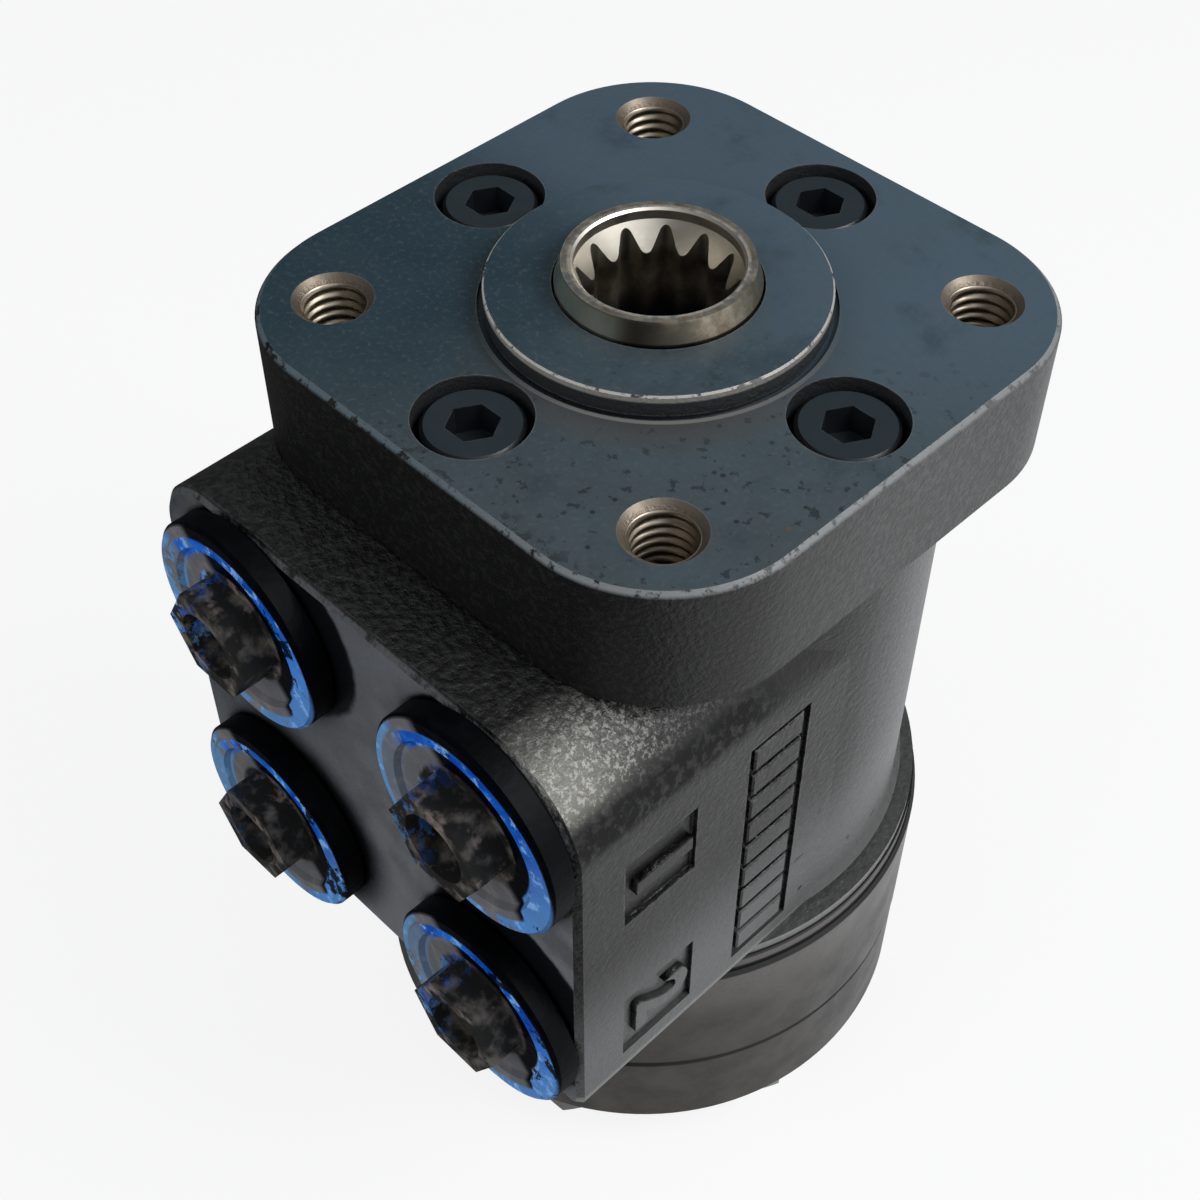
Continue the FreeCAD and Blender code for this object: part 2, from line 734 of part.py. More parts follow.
def end_cap_screws():
    seat = cap_bottom - washer_thickness
    low = seat - hex_head_height
    corner_r = hex_head_flats / math.sqrt(3) + 0.1
    screws = []
    for p in end_screw_places():
        shank = turned([(0, seat - 1), (m8_r, seat - 1), (m8_r, end_screw_tip - tip_chamfer),
                        (m8_r - tip_chamfer, end_screw_tip), (0, end_screw_tip)], p.x, p.y)
        head = hexagon(hex_head_flats, low, hex_head_height, p.x, p.y)
        crown = turned([(0, low), (corner_r - hex_crown_width, low), (corner_r, low + hex_crown_height),
                        (corner_r, seat), (0, seat)], p.x, p.y)
        screws.append(shank.fuse(head.common(crown)).removeSplitter())
    return Part.makeCompound(screws)


def end_cap_washers():
    low = cap_bottom - washer_thickness
    washers = []
    for p in end_screw_places():
        washers.append(turned([(m8_clearance_r, low), (washer_r, low), (washer_r, cap_bottom),
                               (m8_clearance_r, cap_bottom)], p.x, p.y))
    return Part.makeCompound(washers)


def bearing_race(low, high):
    return band(race_r, neck_r + 1.0, low, high)


def thrust_bearing():
    """Needle cage: a flat ring with radial needles that stand proud of it on both sides."""
    middle = (bearing_bottom + bearing_top) / 2
    needle_r = (bearing_top - bearing_bottom) / 2
    pieces = [band(cage_r, cage_bore_r, middle - cage_half, middle + cage_half)]
    for k in range(needle_count):
        a = 360.0 * k / needle_count
        inner = point_at(needle_inner_end, a, middle)
        outer = point_at(needle_outer_end, a, middle)
        pieces.append(between(inner, outer, needle_r))
    return joined(pieces)


def port_plug(name):
    """Moulded plug: a disc with a raised rim, a hollow shank in the port and a hexagonal grip."""
    x, z = ports[name]
    top = plug_flange_thickness
    rim = plug_flange_r - plug_rim_width
    face = top - plug_face_drop
    edge = plug_edge
    middle = top / 2
    flange = turned([(0, 0), (plug_flange_r - edge, 0), (plug_flange_r, edge), (plug_flange_r, top - edge),
                     (plug_flange_r - edge, top), (rim, top), (rim - edge, face), (0, face)])
    shank_r = port_r - plug_gap
    shank = turned([(0, middle), (0, -plug_shank_length), (shank_r - plug_lead_drop, -plug_shank_length),
                    (shank_r, plug_lead - plug_shank_length), (shank_r, middle)])
    grip_top = top + plug_grip_height
    grip = hexagon(plug_grip_flats, middle, grip_top - middle)
    body = flange.fuse(shank).fuse(grip)
    body = body.cut(upright(0, 0, plug_floor - plug_shank_length, grip_top + 1, plug_hollow_r))
    return turned_to_port(body.removeSplitter(), x, z)


def check_ball():
    x, z = ports["upper_right"]
    floor_y = port_face_y + port_depth
    return Part.makeSphere(ball_r, Vector(x, floor_y - ball_seat_drop() - ball_gap, z))


def ball_stop():
    """Disc in the port's bottom that holds the ball's lift, with four holes for the oil."""
    x, z = ports["upper_right"]
    disc = turned([(0, 0), (port_r, 0), (port_r, ball_stop_thickness), (0, ball_stop_thickness)])
    for k in range(4):
        hole = point_at(ball_stop_hole_circle_r, 45 + 90 * k)
        disc = disc.cut(upright(hole.x, hole.y, -1, ball_stop_thickness + 1, ball_stop_hole_r))
    depth = port_depth - ball_seat_drop() - ball_r - ball_lift - 2 * ball_gap
    disc.translate(Vector(0, 0, -depth))
    return turned_to_port(disc, x, z)


def build():
    os.makedirs("parts", exist_ok=True)
    save("mounting_plate", mounting_plate())
    save("mounting_plate_screws", mounting_plate_screws())
    save("dust_seal", dust_seal())
    save("shaft_seal", shaft_seal())
    save("plate_seal", face_seal(plate_seal_r, plate_seal_half, plate_seal_height, plate_bottom))
    save("bearing_race_upper", bearing_race(bearing_top + race_gap, bearing_pocket_top))
    save("thrust_bearing", thrust_bearing())
    save("bearing_race_lower", bearing_race(sleeve_top, bearing_bottom - race_gap))
    save("housing", housing())
    save("spool", spool())
    save("sleeve", sleeve())
    save("spring_ring", spring_ring())
    save("cross_pin", cross_pin())
    save("centring_springs", centring_springs())
    save("cardan_shaft", cardan_shaft())
    save("rotor_spacer", rotor_spacer())
    housing_seal_low = housing_bottom - face_seal_height
    save("housing_seal", face_seal(face_seal_r, face_seal_half, face_seal_height, housing_seal_low))
    save("spacer_plate", spacer_plate())
    ring_seal_low = spacer_bottom - face_seal_height
    save("ring_seal", face_seal(face_seal_r, face_seal_half, face_seal_height, ring_seal_low))
    save("gerotor_ring", gerotor_ring())
    save("gerotor_star", gerotor_star())
    cap_seal_low = ring_bottom - face_seal_height
    save("end_cap_seal", face_seal(face_seal_r, face_seal_half, face_seal_height, cap_seal_low))
    save("end_cap", end_cap())
    save("end_cap_washers", end_cap_washers())
    save("end_cap_screws", end_cap_screws())
    save("check_ball", check_ball())
    save("ball_stop", ball_stop())
    for name in ports:
        save("port_plug_" + name, port_plug(name))


build()
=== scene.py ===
"""Orbital steering unit: its looks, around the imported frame.

The unit stands on its end cap screws with the input spline upwards. Lengths are in metres.
The mounting plate's face is at height zero and the port face looks along -Y.
"""
import bpy
import math
import numpy as np
from mathutils import Matrix, Vector


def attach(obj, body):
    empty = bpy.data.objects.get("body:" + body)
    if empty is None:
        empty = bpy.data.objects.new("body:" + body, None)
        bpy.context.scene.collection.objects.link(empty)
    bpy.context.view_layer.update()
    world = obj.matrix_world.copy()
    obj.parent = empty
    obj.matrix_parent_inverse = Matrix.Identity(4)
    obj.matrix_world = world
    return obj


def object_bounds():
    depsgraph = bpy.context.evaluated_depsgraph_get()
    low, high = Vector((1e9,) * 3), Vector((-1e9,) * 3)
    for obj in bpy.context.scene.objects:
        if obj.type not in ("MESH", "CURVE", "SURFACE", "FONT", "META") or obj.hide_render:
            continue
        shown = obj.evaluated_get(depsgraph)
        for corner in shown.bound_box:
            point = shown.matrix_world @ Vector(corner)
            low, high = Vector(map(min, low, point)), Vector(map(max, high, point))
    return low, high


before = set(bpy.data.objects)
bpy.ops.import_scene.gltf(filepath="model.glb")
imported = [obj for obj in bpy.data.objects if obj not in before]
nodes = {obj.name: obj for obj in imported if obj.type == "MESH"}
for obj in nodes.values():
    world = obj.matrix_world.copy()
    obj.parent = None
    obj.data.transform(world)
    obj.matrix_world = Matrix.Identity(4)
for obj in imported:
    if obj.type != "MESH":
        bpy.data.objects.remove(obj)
cad_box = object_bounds()

MM = 0.001

# Camera, solved from the photograph's flange
CAMERA_PLACE = Vector((126.467, -135.554, 145.758)) * MM
CAMERA_LOOK = Vector((-0.47980, 0.47537, -0.73744))
CAMERA_ROLL = math.radians(0.073)
CAMERA_LENS = 55.01
CAMERA_SENSOR = 36.0
CAMERA_NEAR = 10 * MM

# Mounting plate, its pilot boss and the relief round the boss
PLATE_HALF = 42.0 * MM
BOSS_R = 22.2 * MM
BOSS_TOP = 3.0 * MM
RELIEF_R = 23.0 * MM
COUNTERBORE_REACH = 41.0 * MM

# Tapped holes on their bolt circle, each as far from the middle along x as along y
BOLT_CIRCLE_R = 41.25 * MM
HOLE_CORNER = BOLT_CIRCLE_R * math.sqrt(0.5)
TAPPED_HOLE_R = 4.25 * MM
TAPPED_MOUTH_R = 5.3 * MM
TAPPED_DEPTH = 16.5 * MM
DRILL_POINT = 1.5 * MM
M10_PITCH = 1.5 * MM
M10_CREST_R = 3.72 * MM

# Spool's neck, its narrower rim, and the mouth of the spline inside it
NECK_R = 13.2 * MM
NECK_TOP = 6.2 * MM
RIM_R = 12.35 * MM
SPLINE_MOUTH_R = 10.8 * MM

# Joint faces down the stack
HOUSING_BOTTOM = -89.5 * MM
SPACER_BOTTOM = -92.5 * MM
RING_BOTTOM = -116.7 * MM

# Ports, their centres as x and z on the port face
PORTS = {"upper_right": (24.0 * MM, -34.0 * MM), "upper_left": (-20.5 * MM, -34.0 * MM),
         "lower_right": (24.0 * MM, -76.0 * MM), "lower_left": (-20.5 * MM, -76.0 * MM)}
PORT_FACE_Y = -53.4 * MM
PORT_R = 9.3 * MM
PORT_BEVEL = 1.2 * MM
PORT_DEPTH = 17.0 * MM
DRILLING_DEPTH = 6.0 * MM

# Plugs: outer radius, radius round the hub's corners, and the share of blue left on each one's rim at the
# left and on its hub
PLUG_R = 16.0 * MM
HUB_R = 8.1 * MM
PLUG_BLUE = {"upper_right": (0.10, 0.45), "upper_left": (0.85, 0.90), "lower_right": (0.35, 0.60),
             "lower_left": (0.75, 0.12)}

# Black painted shadows on the port face round each plug: x and z from the plug's axis, radius and width of
# its soft edge
PLUG_SHADOWS = {"upper_right": (0.8 * MM, 1.0 * MM, 17.2 * MM, 0.8 * MM),
             "upper_left": (4.0 * MM, 3.5 * MM, 17.7 * MM, 1.2 * MM),
             "lower_right": (3.5 * MM, 5.0 * MM, 18.2 * MM, 1.2 * MM),
             "lower_left": (3.0 * MM, 2.0 * MM, 21.2 * MM, 7.0 * MM)}

# Panels on the +X side, the long one by its low and high y and z
SIDE_X = 39.8 * MM
PANEL_DEPTH = 0.8 * MM
LONG_PANEL = (-23.0 * MM, -11.5 * MM, -84.5 * MM, -36.0 * MM)
RIB_COUNT = 9
RIB_MARGIN = 1.1 * MM
RIB_BEVEL = 0.25 * MM

# Numerals, their centres as y and z on the short panels
NUMERALS = {"1": (-38.9 * MM, -45.0 * MM), "2": (-38.4 * MM, -77.0 * MM)}
NUMERAL_SIZE = 13 * MM

# Lamps: place, power in watts, width, and whether polished faces show them
LAMPS = {"key": ((0.45, 0.22, 0.45), 3.0, 0.35, True),
         "fill": ((-0.15, -0.60, 0.20), 1.6, 0.5, False)}
LAMPS_AIM = Vector((0, 0, -50 * MM))

# Half the floor's width, and the way to the brighter side of the studio that polished faces show
FLOOR_HALF = 1.2
BRIGHT_SIDE = Vector((0.86, 0.30, 0.41)).normalized()
WHITE = (1, 1, 1, 1)


# Mesh making

def grid_piece(name, points, body):
    """Surface over a grid of points with rows u and columns v, joined round on itself both ways."""
    rows, columns = points.shape[:2]
    u, v = np.meshgrid(np.arange(rows), np.arange(columns), indexing="ij")
    after_u = (u + 1) % rows
    after_v = (v + 1) % columns
    corners = [u * columns + v, after_u * columns + v, after_u * columns + after_v, u * columns + after_v]
    return mesh_piece(name, points.reshape(-1, 3), np.stack(corners, -1).reshape(-1, 4), body, True)


def mesh_piece(name, points, faces, body, smooth):
    """Piece of the given points and faces that rides on a body."""
    mesh = bpy.data.meshes.new(name)
    mesh.from_pydata(points.tolist(), [], faces.tolist())
    mesh.polygons.foreach_set("use_smooth", np.full(len(faces), smooth))
    piece = bpy.data.objects.new(name, mesh)
    bpy.context.scene.collection.objects.link(piece)
    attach(piece, body)
    return piece


# Shader nodes

def new_material(name):
    material = bpy.data.materials.new(name)
    material.use_nodes = True
    tree = material.node_tree
    tree.nodes.clear()
    return material, tree


def add(tree, kind, inputs=None, **settings):
    """Adds a shader node. An input's value is a number, a colour or another node's output."""
    made = tree.nodes.new("ShaderNode" + kind)
    for key, value in settings.items():
        setattr(made, key, value)
    for key, value in (inputs or {}).items():
        if isinstance(value, bpy.types.NodeSocket):
            tree.links.new(value, made.inputs[key])
        else:
            made.inputs[key].default_value = value
    return made


def finish_material(tree, inputs):
    """Ends a material in one principled shader."""
    shader = add(tree, "BsdfPrincipled", inputs).outputs[0]
    add(tree, "OutputMaterial", {"Surface": shader})


def places(tree):
    """Object coordinates, which are the part's own metres."""
    return add(tree, "TexCoord").outputs["Object"]


def outward(tree):
    """The surface's own normal in the part's axes."""
    return add(tree, "TexCoord").outputs["Normal"]


def split(tree, vector):
    """The parts X, Y and Z of a vector."""
    return add(tree, "SeparateXYZ", {0: vector}).outputs


def math_node(tree, operation, first, second=0.0):
    return add(tree, "Math", {0: first, 1: second}, operation=operation).outputs[0]


def plus(tree, first, second):
    return math_node(tree, "ADD", first, second)


def minus(tree, first, second):
    return math_node(tree, "SUBTRACT", first, second)


def larger(tree, first, second):
    return math_node(tree, "MAXIMUM", first, second)


def times(tree, first, *others):
    for other in others:
        first = math_node(tree, "MULTIPLY", first, other)
    return first


def remainder(tree, share):
    """What a share leaves of one."""
    return minus(tree, 1.0, share)


def ramp(tree, value, low, high, start=0.0, end=1.0):
    """Smooth rise from start to end as the value goes from low to high."""
    inputs = {"Value": value, "From Min": low, "From Max": high, "To Min": start, "To Max": end}
    return add(tree, "MapRange", inputs, interpolation_type="SMOOTHSTEP").outputs["Result"]


def noise(tree, place, size, detail=4.0, roughness=0.6):
    """Noise whose patches are about the given size in metres."""
    inputs = {"Vector": place, "Scale": 1.0 / size, "Detail": detail, "Roughness": roughness}
    return add(tree, "TexNoise", inputs).outputs["Fac"]


def blotches(tree, place, size, low, high, detail=4.0, roughness=0.6):
    """Patches of about the given size: one where the noise is above high, zero where it is below low."""
    return ramp(tree, noise(tree, place, size, detail, roughness), low, high)


def specks(tree, place, size, low, high):
    """Scattered dots, one to a cell of the given size: one within low of a dot's middle, zero beyond high,
    both in cells."""
    inputs = {"Vector": place, "Scale": 1.0 / size}
    distance = add(tree, "TexVoronoi", inputs, feature="F1").outputs["Distance"]
    return ramp(tree, distance, low, high, 1.0, 0.0)


def turning_marks(tree, place, size, roughness):
    """Fine rings across the axis, from noise drawn out sideways."""
    drawn_out = add(tree, "Mapping", {"Vector": place, "Scale": (0.15, 0.15, 1.0)}).outputs[0]
    return noise(tree, drawn_out, size, 2.0, roughness)


def blend_values(tree, amount, first, second):
    return add(tree, "Mix", {0: amount, 2: first, 3: second}).outputs[0]


def blend_colours(tree, amount, first, second):
    return add(tree, "Mix", {0: amount, 6: first, 7: second}, data_type="RGBA").outputs[2]


def cover(tree, under, over, *shares):
    """The colour under with the colour over on top of it, as fully as the product of the shares."""
    return blend_colours(tree, times(tree, *shares), under, over)


def grey(level, blue=0.0):
    return (level * (1 - blue), level, level * (1 + blue), 1.0)


def darkened(colour, share):
    return tuple(c * share for c in colour[:3]) + (1,)


def bump(tree, height, strength, distance, under=None):
    inputs = {"Height": height, "Strength": strength, "Distance": distance}
    if under is not None:
        inputs["Normal"] = under
    return add(tree, "Bump", inputs).outputs["Normal"]


def light_grain(tree, place):
    """Barely felt grain of a small piece."""
    return bump(tree, noise(tree, place, 0.4 * MM, 3.0, 0.5), 0.2, 0.03 * MM)


def edge_wear(tree, radius):
    """One along sharp edges, from how far a rounded normal leans away from the true one."""
    rounded = add(tree, "Bevel", {"Radius": radius}, samples=6).outputs[0]
    true = add(tree, "NewGeometry").outputs["Normal"]
    along = add(tree, "VectorMath", {0: rounded, 1: true}, operation="DOT_PRODUCT").outputs["Value"]
    return ramp(tree, remainder(tree, along), 0.02, 0.25)


def corner_shade(tree, reach):
    """One in tight corners, for painted shade."""
    open_share = add(tree, "AmbientOcclusion", {"Distance": reach}, samples=8).outputs["AO"]
    return ramp(tree, open_share, 0.45, 0.85, 1.0, 0.0)


def from_axis(tree, place, centre, across=(1, 1, 0)):
    """Distance from an axis through the centre, along the direction that across leaves out."""
    apart = add(tree, "VectorMath", {0: place, 1: centre}, operation="SUBTRACT").outputs[0]
    flat = add(tree, "VectorMath", {0: apart, 1: across}, operation="MULTIPLY").outputs[0]
    return add(tree, "VectorMath", {0: flat}, operation="LENGTH").outputs["Value"]


# Mounting plate

def plate_top(tree, place, apart, radius, across, front):
    """Teal paint of the ground top: painted shade darkens it towards the left and painted light lightens it
    at the back; greyer in front, with soft mottling, brown oil, chips and a few rust spots."""
    left_shaded_teal = (0.010, 0.030, 0.043, 1)
    teal = (0.050, 0.086, 0.112, 1)
    lit_back_teal = (0.056, 0.092, 0.125, 1)
    front_teal = (0.046, 0.060, 0.067, 1)
    clouded = (0.056, 0.086, 0.106, 1)
    shaded = (0.017, 0.034, 0.046, 1)
    dusty = (0.090, 0.110, 0.118, 1)
    oil_brown = (0.058, 0.053, 0.048, 1)
    chipped = (0.008, 0.011, 0.013, 1)
    rusty = (0.14, 0.055, 0.02, 1)
    # Painted shade: darker teal towards the left; painted light: lighter teal at the back
    paint = blend_colours(tree, ramp(tree, across, -30 * MM, 45 * MM), left_shaded_teal, teal)
    paint = cover(tree, paint, lit_back_teal, ramp(tree, apart["Y"], -8 * MM, 16 * MM), 0.9)
    paint = cover(tree, paint, front_teal, front, 0.85)
    cloud = blotches(tree, place, 9 * MM, 0.35, 0.7, 5.0)
    paint = cover(tree, paint, clouded, cloud, ramp(tree, across, -30 * MM, 0.0, 0.12, 0.4))
    shade = blotches(tree, place, 13 * MM, 0.52, 0.72, 6.0, 0.65)
    paint = cover(tree, paint, shaded, shade, 0.55)
    fine = blotches(tree, place, 0.8 * MM, 0.50, 0.75, roughness=0.7)
    paint = cover(tree, paint, dusty, fine, 0.45)
    # Oil has run in front of the neck and of the boss
    past_boss = times(tree, ramp(tree, radius, RELIEF_R + 7 * MM, RELIEF_R + 1 * MM),
                      ramp(tree, radius, RELIEF_R - 0.1 * MM, RELIEF_R))
    past_neck = ramp(tree, radius, NECK_R + 4.3 * MM, NECK_R + 0.8 * MM)
    paint = cover(tree, paint, oil_brown, larger(tree, past_boss, past_neck), front, 0.95)
    # Pits and flakes at the front, and flakes along the port side's edge
    port_edge = times(tree, ramp(tree, apart["Y"], 5 * MM - PLATE_HALF, -1 * MM - PLATE_HALF),
                      ramp(tree, apart["X"], -25 * MM, 5 * MM))
    flaked = times(tree, blotches(tree, place, 2.0 * MM, 0.60, 0.64), 0.8)
    edge_flaked = blotches(tree, place, 2.6 * MM, 0.54, 0.58, 3.0)
    pits = larger(tree, specks(tree, place, 3.1 * MM, 0.08, 0.14), flaked)
    chips = larger(tree, times(tree, pits, front), times(tree, edge_flaked, port_edge))
    paint = cover(tree, paint, chipped, chips, 0.85)
    return cover(tree, paint, rusty, specks(tree, place, 9 * MM, 0.02, 0.035), 0.8)


def plate_side(tree, apart, radius, grain):
    """Near-black casting, with painted light making it lighter on the right, and the dark walls of the
    counterbores and the relief.
    """
    dark = blend_colours(tree, ramp(tree, grain, 0.45, 0.7), grey(0.006), grey(0.013))
    # Painted light: lighter grey on the right
    light = blend_colours(tree, ramp(tree, grain, 0.4, 0.7), grey(0.045), grey(0.08))
    right = times(tree, ramp(tree, apart["Y"], -30 * MM, 0.0), ramp(tree, apart["X"], 20 * MM, 35 * MM))
    side = cover(tree, dark, light, right)
    inner = ramp(tree, radius, COUNTERBORE_REACH, COUNTERBORE_REACH - 0.5 * MM)
    return cover(tree, side, grey(0.02, 0.1), inner)


def plate_material():
    """Thin teal paint on the ground top, near-black cast sides with painted light on the right, light
    bevels of worn paint and painted highlight, painted highlights round the boss, and bare steel in the
    tapped holes."""
    shaded_left_bevel = (0.075, 0.105, 0.125, 1)
    lit_right_bevel = (0.19, 0.20, 0.205, 1)
    boss_bevel_highlight = (0.42, 0.40, 0.37, 1)
    boss_band_highlight = (0.26, 0.25, 0.23, 1)
    relief_line_highlight = (0.24, 0.23, 0.205, 1)
    worn_steel = (0.24, 0.23, 0.21, 1)
    hole_steel = (0.16, 0.13, 0.10, 1)
    material, tree = new_material("plate_paint")
    place = places(tree)
    apart = split(tree, place)
    radius = from_axis(tree, place, (0, 0, 0))
    up = split(tree, outward(tree))["Z"]
    top = ramp(tree, up, 0.80, 0.95)
    across = plus(tree, apart["X"], times(tree, apart["Y"], 0.6))
    front = ramp(tree, minus(tree, apart["X"], apart["Y"]), 0.0, 55 * MM)
    grain = noise(tree, place, 0.8 * MM, 3.0)
    paint = plate_top(tree, place, apart, radius, across, front)
    colour = cover(tree, plate_side(tree, apart, radius, grain), paint, top)
    # Bevels: worn paint along their upper half with a painted highlight, lighter to the right and in
    # painted shade to the left, brightest round the boss, with dark nicks
    bevelled = times(tree, ramp(tree, up, 0.35, 0.55), remainder(tree, top),
                     ramp(tree, apart["Z"], -0.75 * MM, -0.35 * MM))
    nicks = blotches(tree, place, 2.2 * MM, 0.38, 0.48, roughness=0.7)
    light = blend_colours(tree, ramp(tree, across, -30 * MM, 20 * MM), shaded_left_bevel, lit_right_bevel)
    light = cover(tree, light, boss_bevel_highlight, ramp(tree, radius, RELIEF_R, RELIEF_R - 0.3 * MM))
    colour = cover(tree, colour, light, bevelled, nicks, 0.95)
    # Painted highlights: a bright band along the top of the boss's wall, and a bright line on the relief's
    # outer edge in front of the boss
    boss_wall = times(tree, ramp(tree, up, 0.5, 0.3),
                      ramp(tree, radius, RELIEF_R - 0.2 * MM, RELIEF_R - 0.4 * MM),
                      ramp(tree, radius, BOSS_R - 0.6 * MM, BOSS_R - 0.3 * MM))
    band = ramp(tree, apart["Z"], BOSS_TOP - 1.15 * MM, BOSS_TOP - 0.75 * MM)
    colour = cover(tree, colour, boss_band_highlight, boss_wall, band, 0.9)
    off_line = math_node(tree, "ABSOLUTE", minus(tree, radius, RELIEF_R + 0.25 * MM))
    relief_line = times(tree, ramp(tree, off_line, 0.50 * MM, 0.25 * MM), top, front)
    colour = cover(tree, colour, relief_line_highlight, relief_line, 0.95)
    # Bare steel in the tapped holes, down to just below the drill's point, and on worn edges
    folded = add(tree, "VectorMath", {0: place}, operation="ABSOLUTE").outputs[0]
    hole_distance = from_axis(tree, folded, (HOLE_CORNER, HOLE_CORNER, 0))
    hole_end = -TAPPED_DEPTH - DRILL_POINT
    tapped = times(tree, ramp(tree, hole_distance, TAPPED_MOUTH_R + 0.1 * MM, TAPPED_MOUTH_R - 0.1 * MM),
                   ramp(tree, apart["Z"], hole_end - 0.7 * MM, hole_end - 0.3 * MM))
    patchy = blotches(tree, place, 1.6 * MM, 0.36, 0.58, roughness=0.7)
    above = ramp(tree, apart["Z"], -0.6 * MM, -0.3 * MM)
    edge = times(tree, edge_wear(tree, 0.5 * MM), patchy, above)
    bare_metal_and_glints = larger(tree, times(tree, tapped, 0.9), times(tree, edge, 0.6))
    colour = cover(tree, colour, blend_colours(tree, tapped, worn_steel, hole_steel), bare_metal_and_glints)
    # Rough casting on the sides, nearly smooth on the top and the bevels
    height = blend_values(tree, top, grain, noise(tree, place, 0.5 * MM, 2.0, 0.5))
    depth = times(tree, minus(tree, 1.06, larger(tree, top, bevelled)), 0.30 * MM)
    relief = bump(tree, height, 0.7, depth)
    rough = blend_values(tree, top, 0.42, 0.38)
    finish_material(tree, {"Base Color": colour, "Metallic": times(tree, bare_metal_and_glints, 0.8), "Roughness": rough,
                           "Specular IOR Level": 0.4, "Normal": relief})
    return material


# Housing

def port_face(tree, place, apart):
    """Machined face with thin paint, darkest at its far left as painted shade and lighter low down as
    painted light, and black painted shadows that the plugs cast round them."""
    shaded_left_grey = (0.044, 0.052, 0.062, 1)
    lit_right_grey = (0.150, 0.156, 0.168, 1)
    mottled = (0.088, 0.092, 0.100, 1)
    lit_low_grey = (0.150, 0.157, 0.170, 1)
    along = minus(tree, apart["X"], times(tree, apart["Z"], 0.4))
    # Painted shade at the far left, painted light towards the right and low down
    face = blend_colours(tree, ramp(tree, along, -30 * MM, 50 * MM), shaded_left_grey, lit_right_grey)
    mottle = blotches(tree, place, 5 * MM, 0.3, 0.7, roughness=0.5)
    face = blend_colours(tree, mottle, mottled, face)
    face = cover(tree, face, lit_low_grey, ramp(tree, apart["Z"], -62 * MM, -80 * MM, 0.0, 0.8))
    ragged = times(tree, noise(tree, place, 4 * MM), 1.5 * MM)
    # Black painted shadow that each plug casts on the face
    for name, (off_x, off_z, reach, softness) in PLUG_SHADOWS.items():
        x, z = PORTS[name]
        distance = from_axis(tree, place, (x + off_x, 0, z + off_z), (1, 0, 1))
        painted_shading = ramp(tree, plus(tree, distance, ragged), reach, reach - softness)
        face = cover(tree, face, grey(0.004, 0.2), painted_shading)
    return face


def inside_ports(tree, place, apart):
    """One on the walls of the ports and their drillings, from the bevel inwards."""
    near_axis = 0.0
    for x, z in PORTS.values():
        distance = from_axis(tree, place, (x, 0, z), (1, 0, 1))
        near_axis = larger(tree, ramp(tree, distance, PORT_R + 0.15 * MM, PORT_R + 0.05 * MM), near_axis)
    start = PORT_FACE_Y + PORT_BEVEL
    end = PORT_FACE_Y + PORT_DEPTH + DRILLING_DEPTH
    return times(tree, near_axis, ramp(tree, apart["Y"], start, start + 0.3 * MM),
                 ramp(tree, apart["Y"], end + 2 * MM, end + 1 * MM))


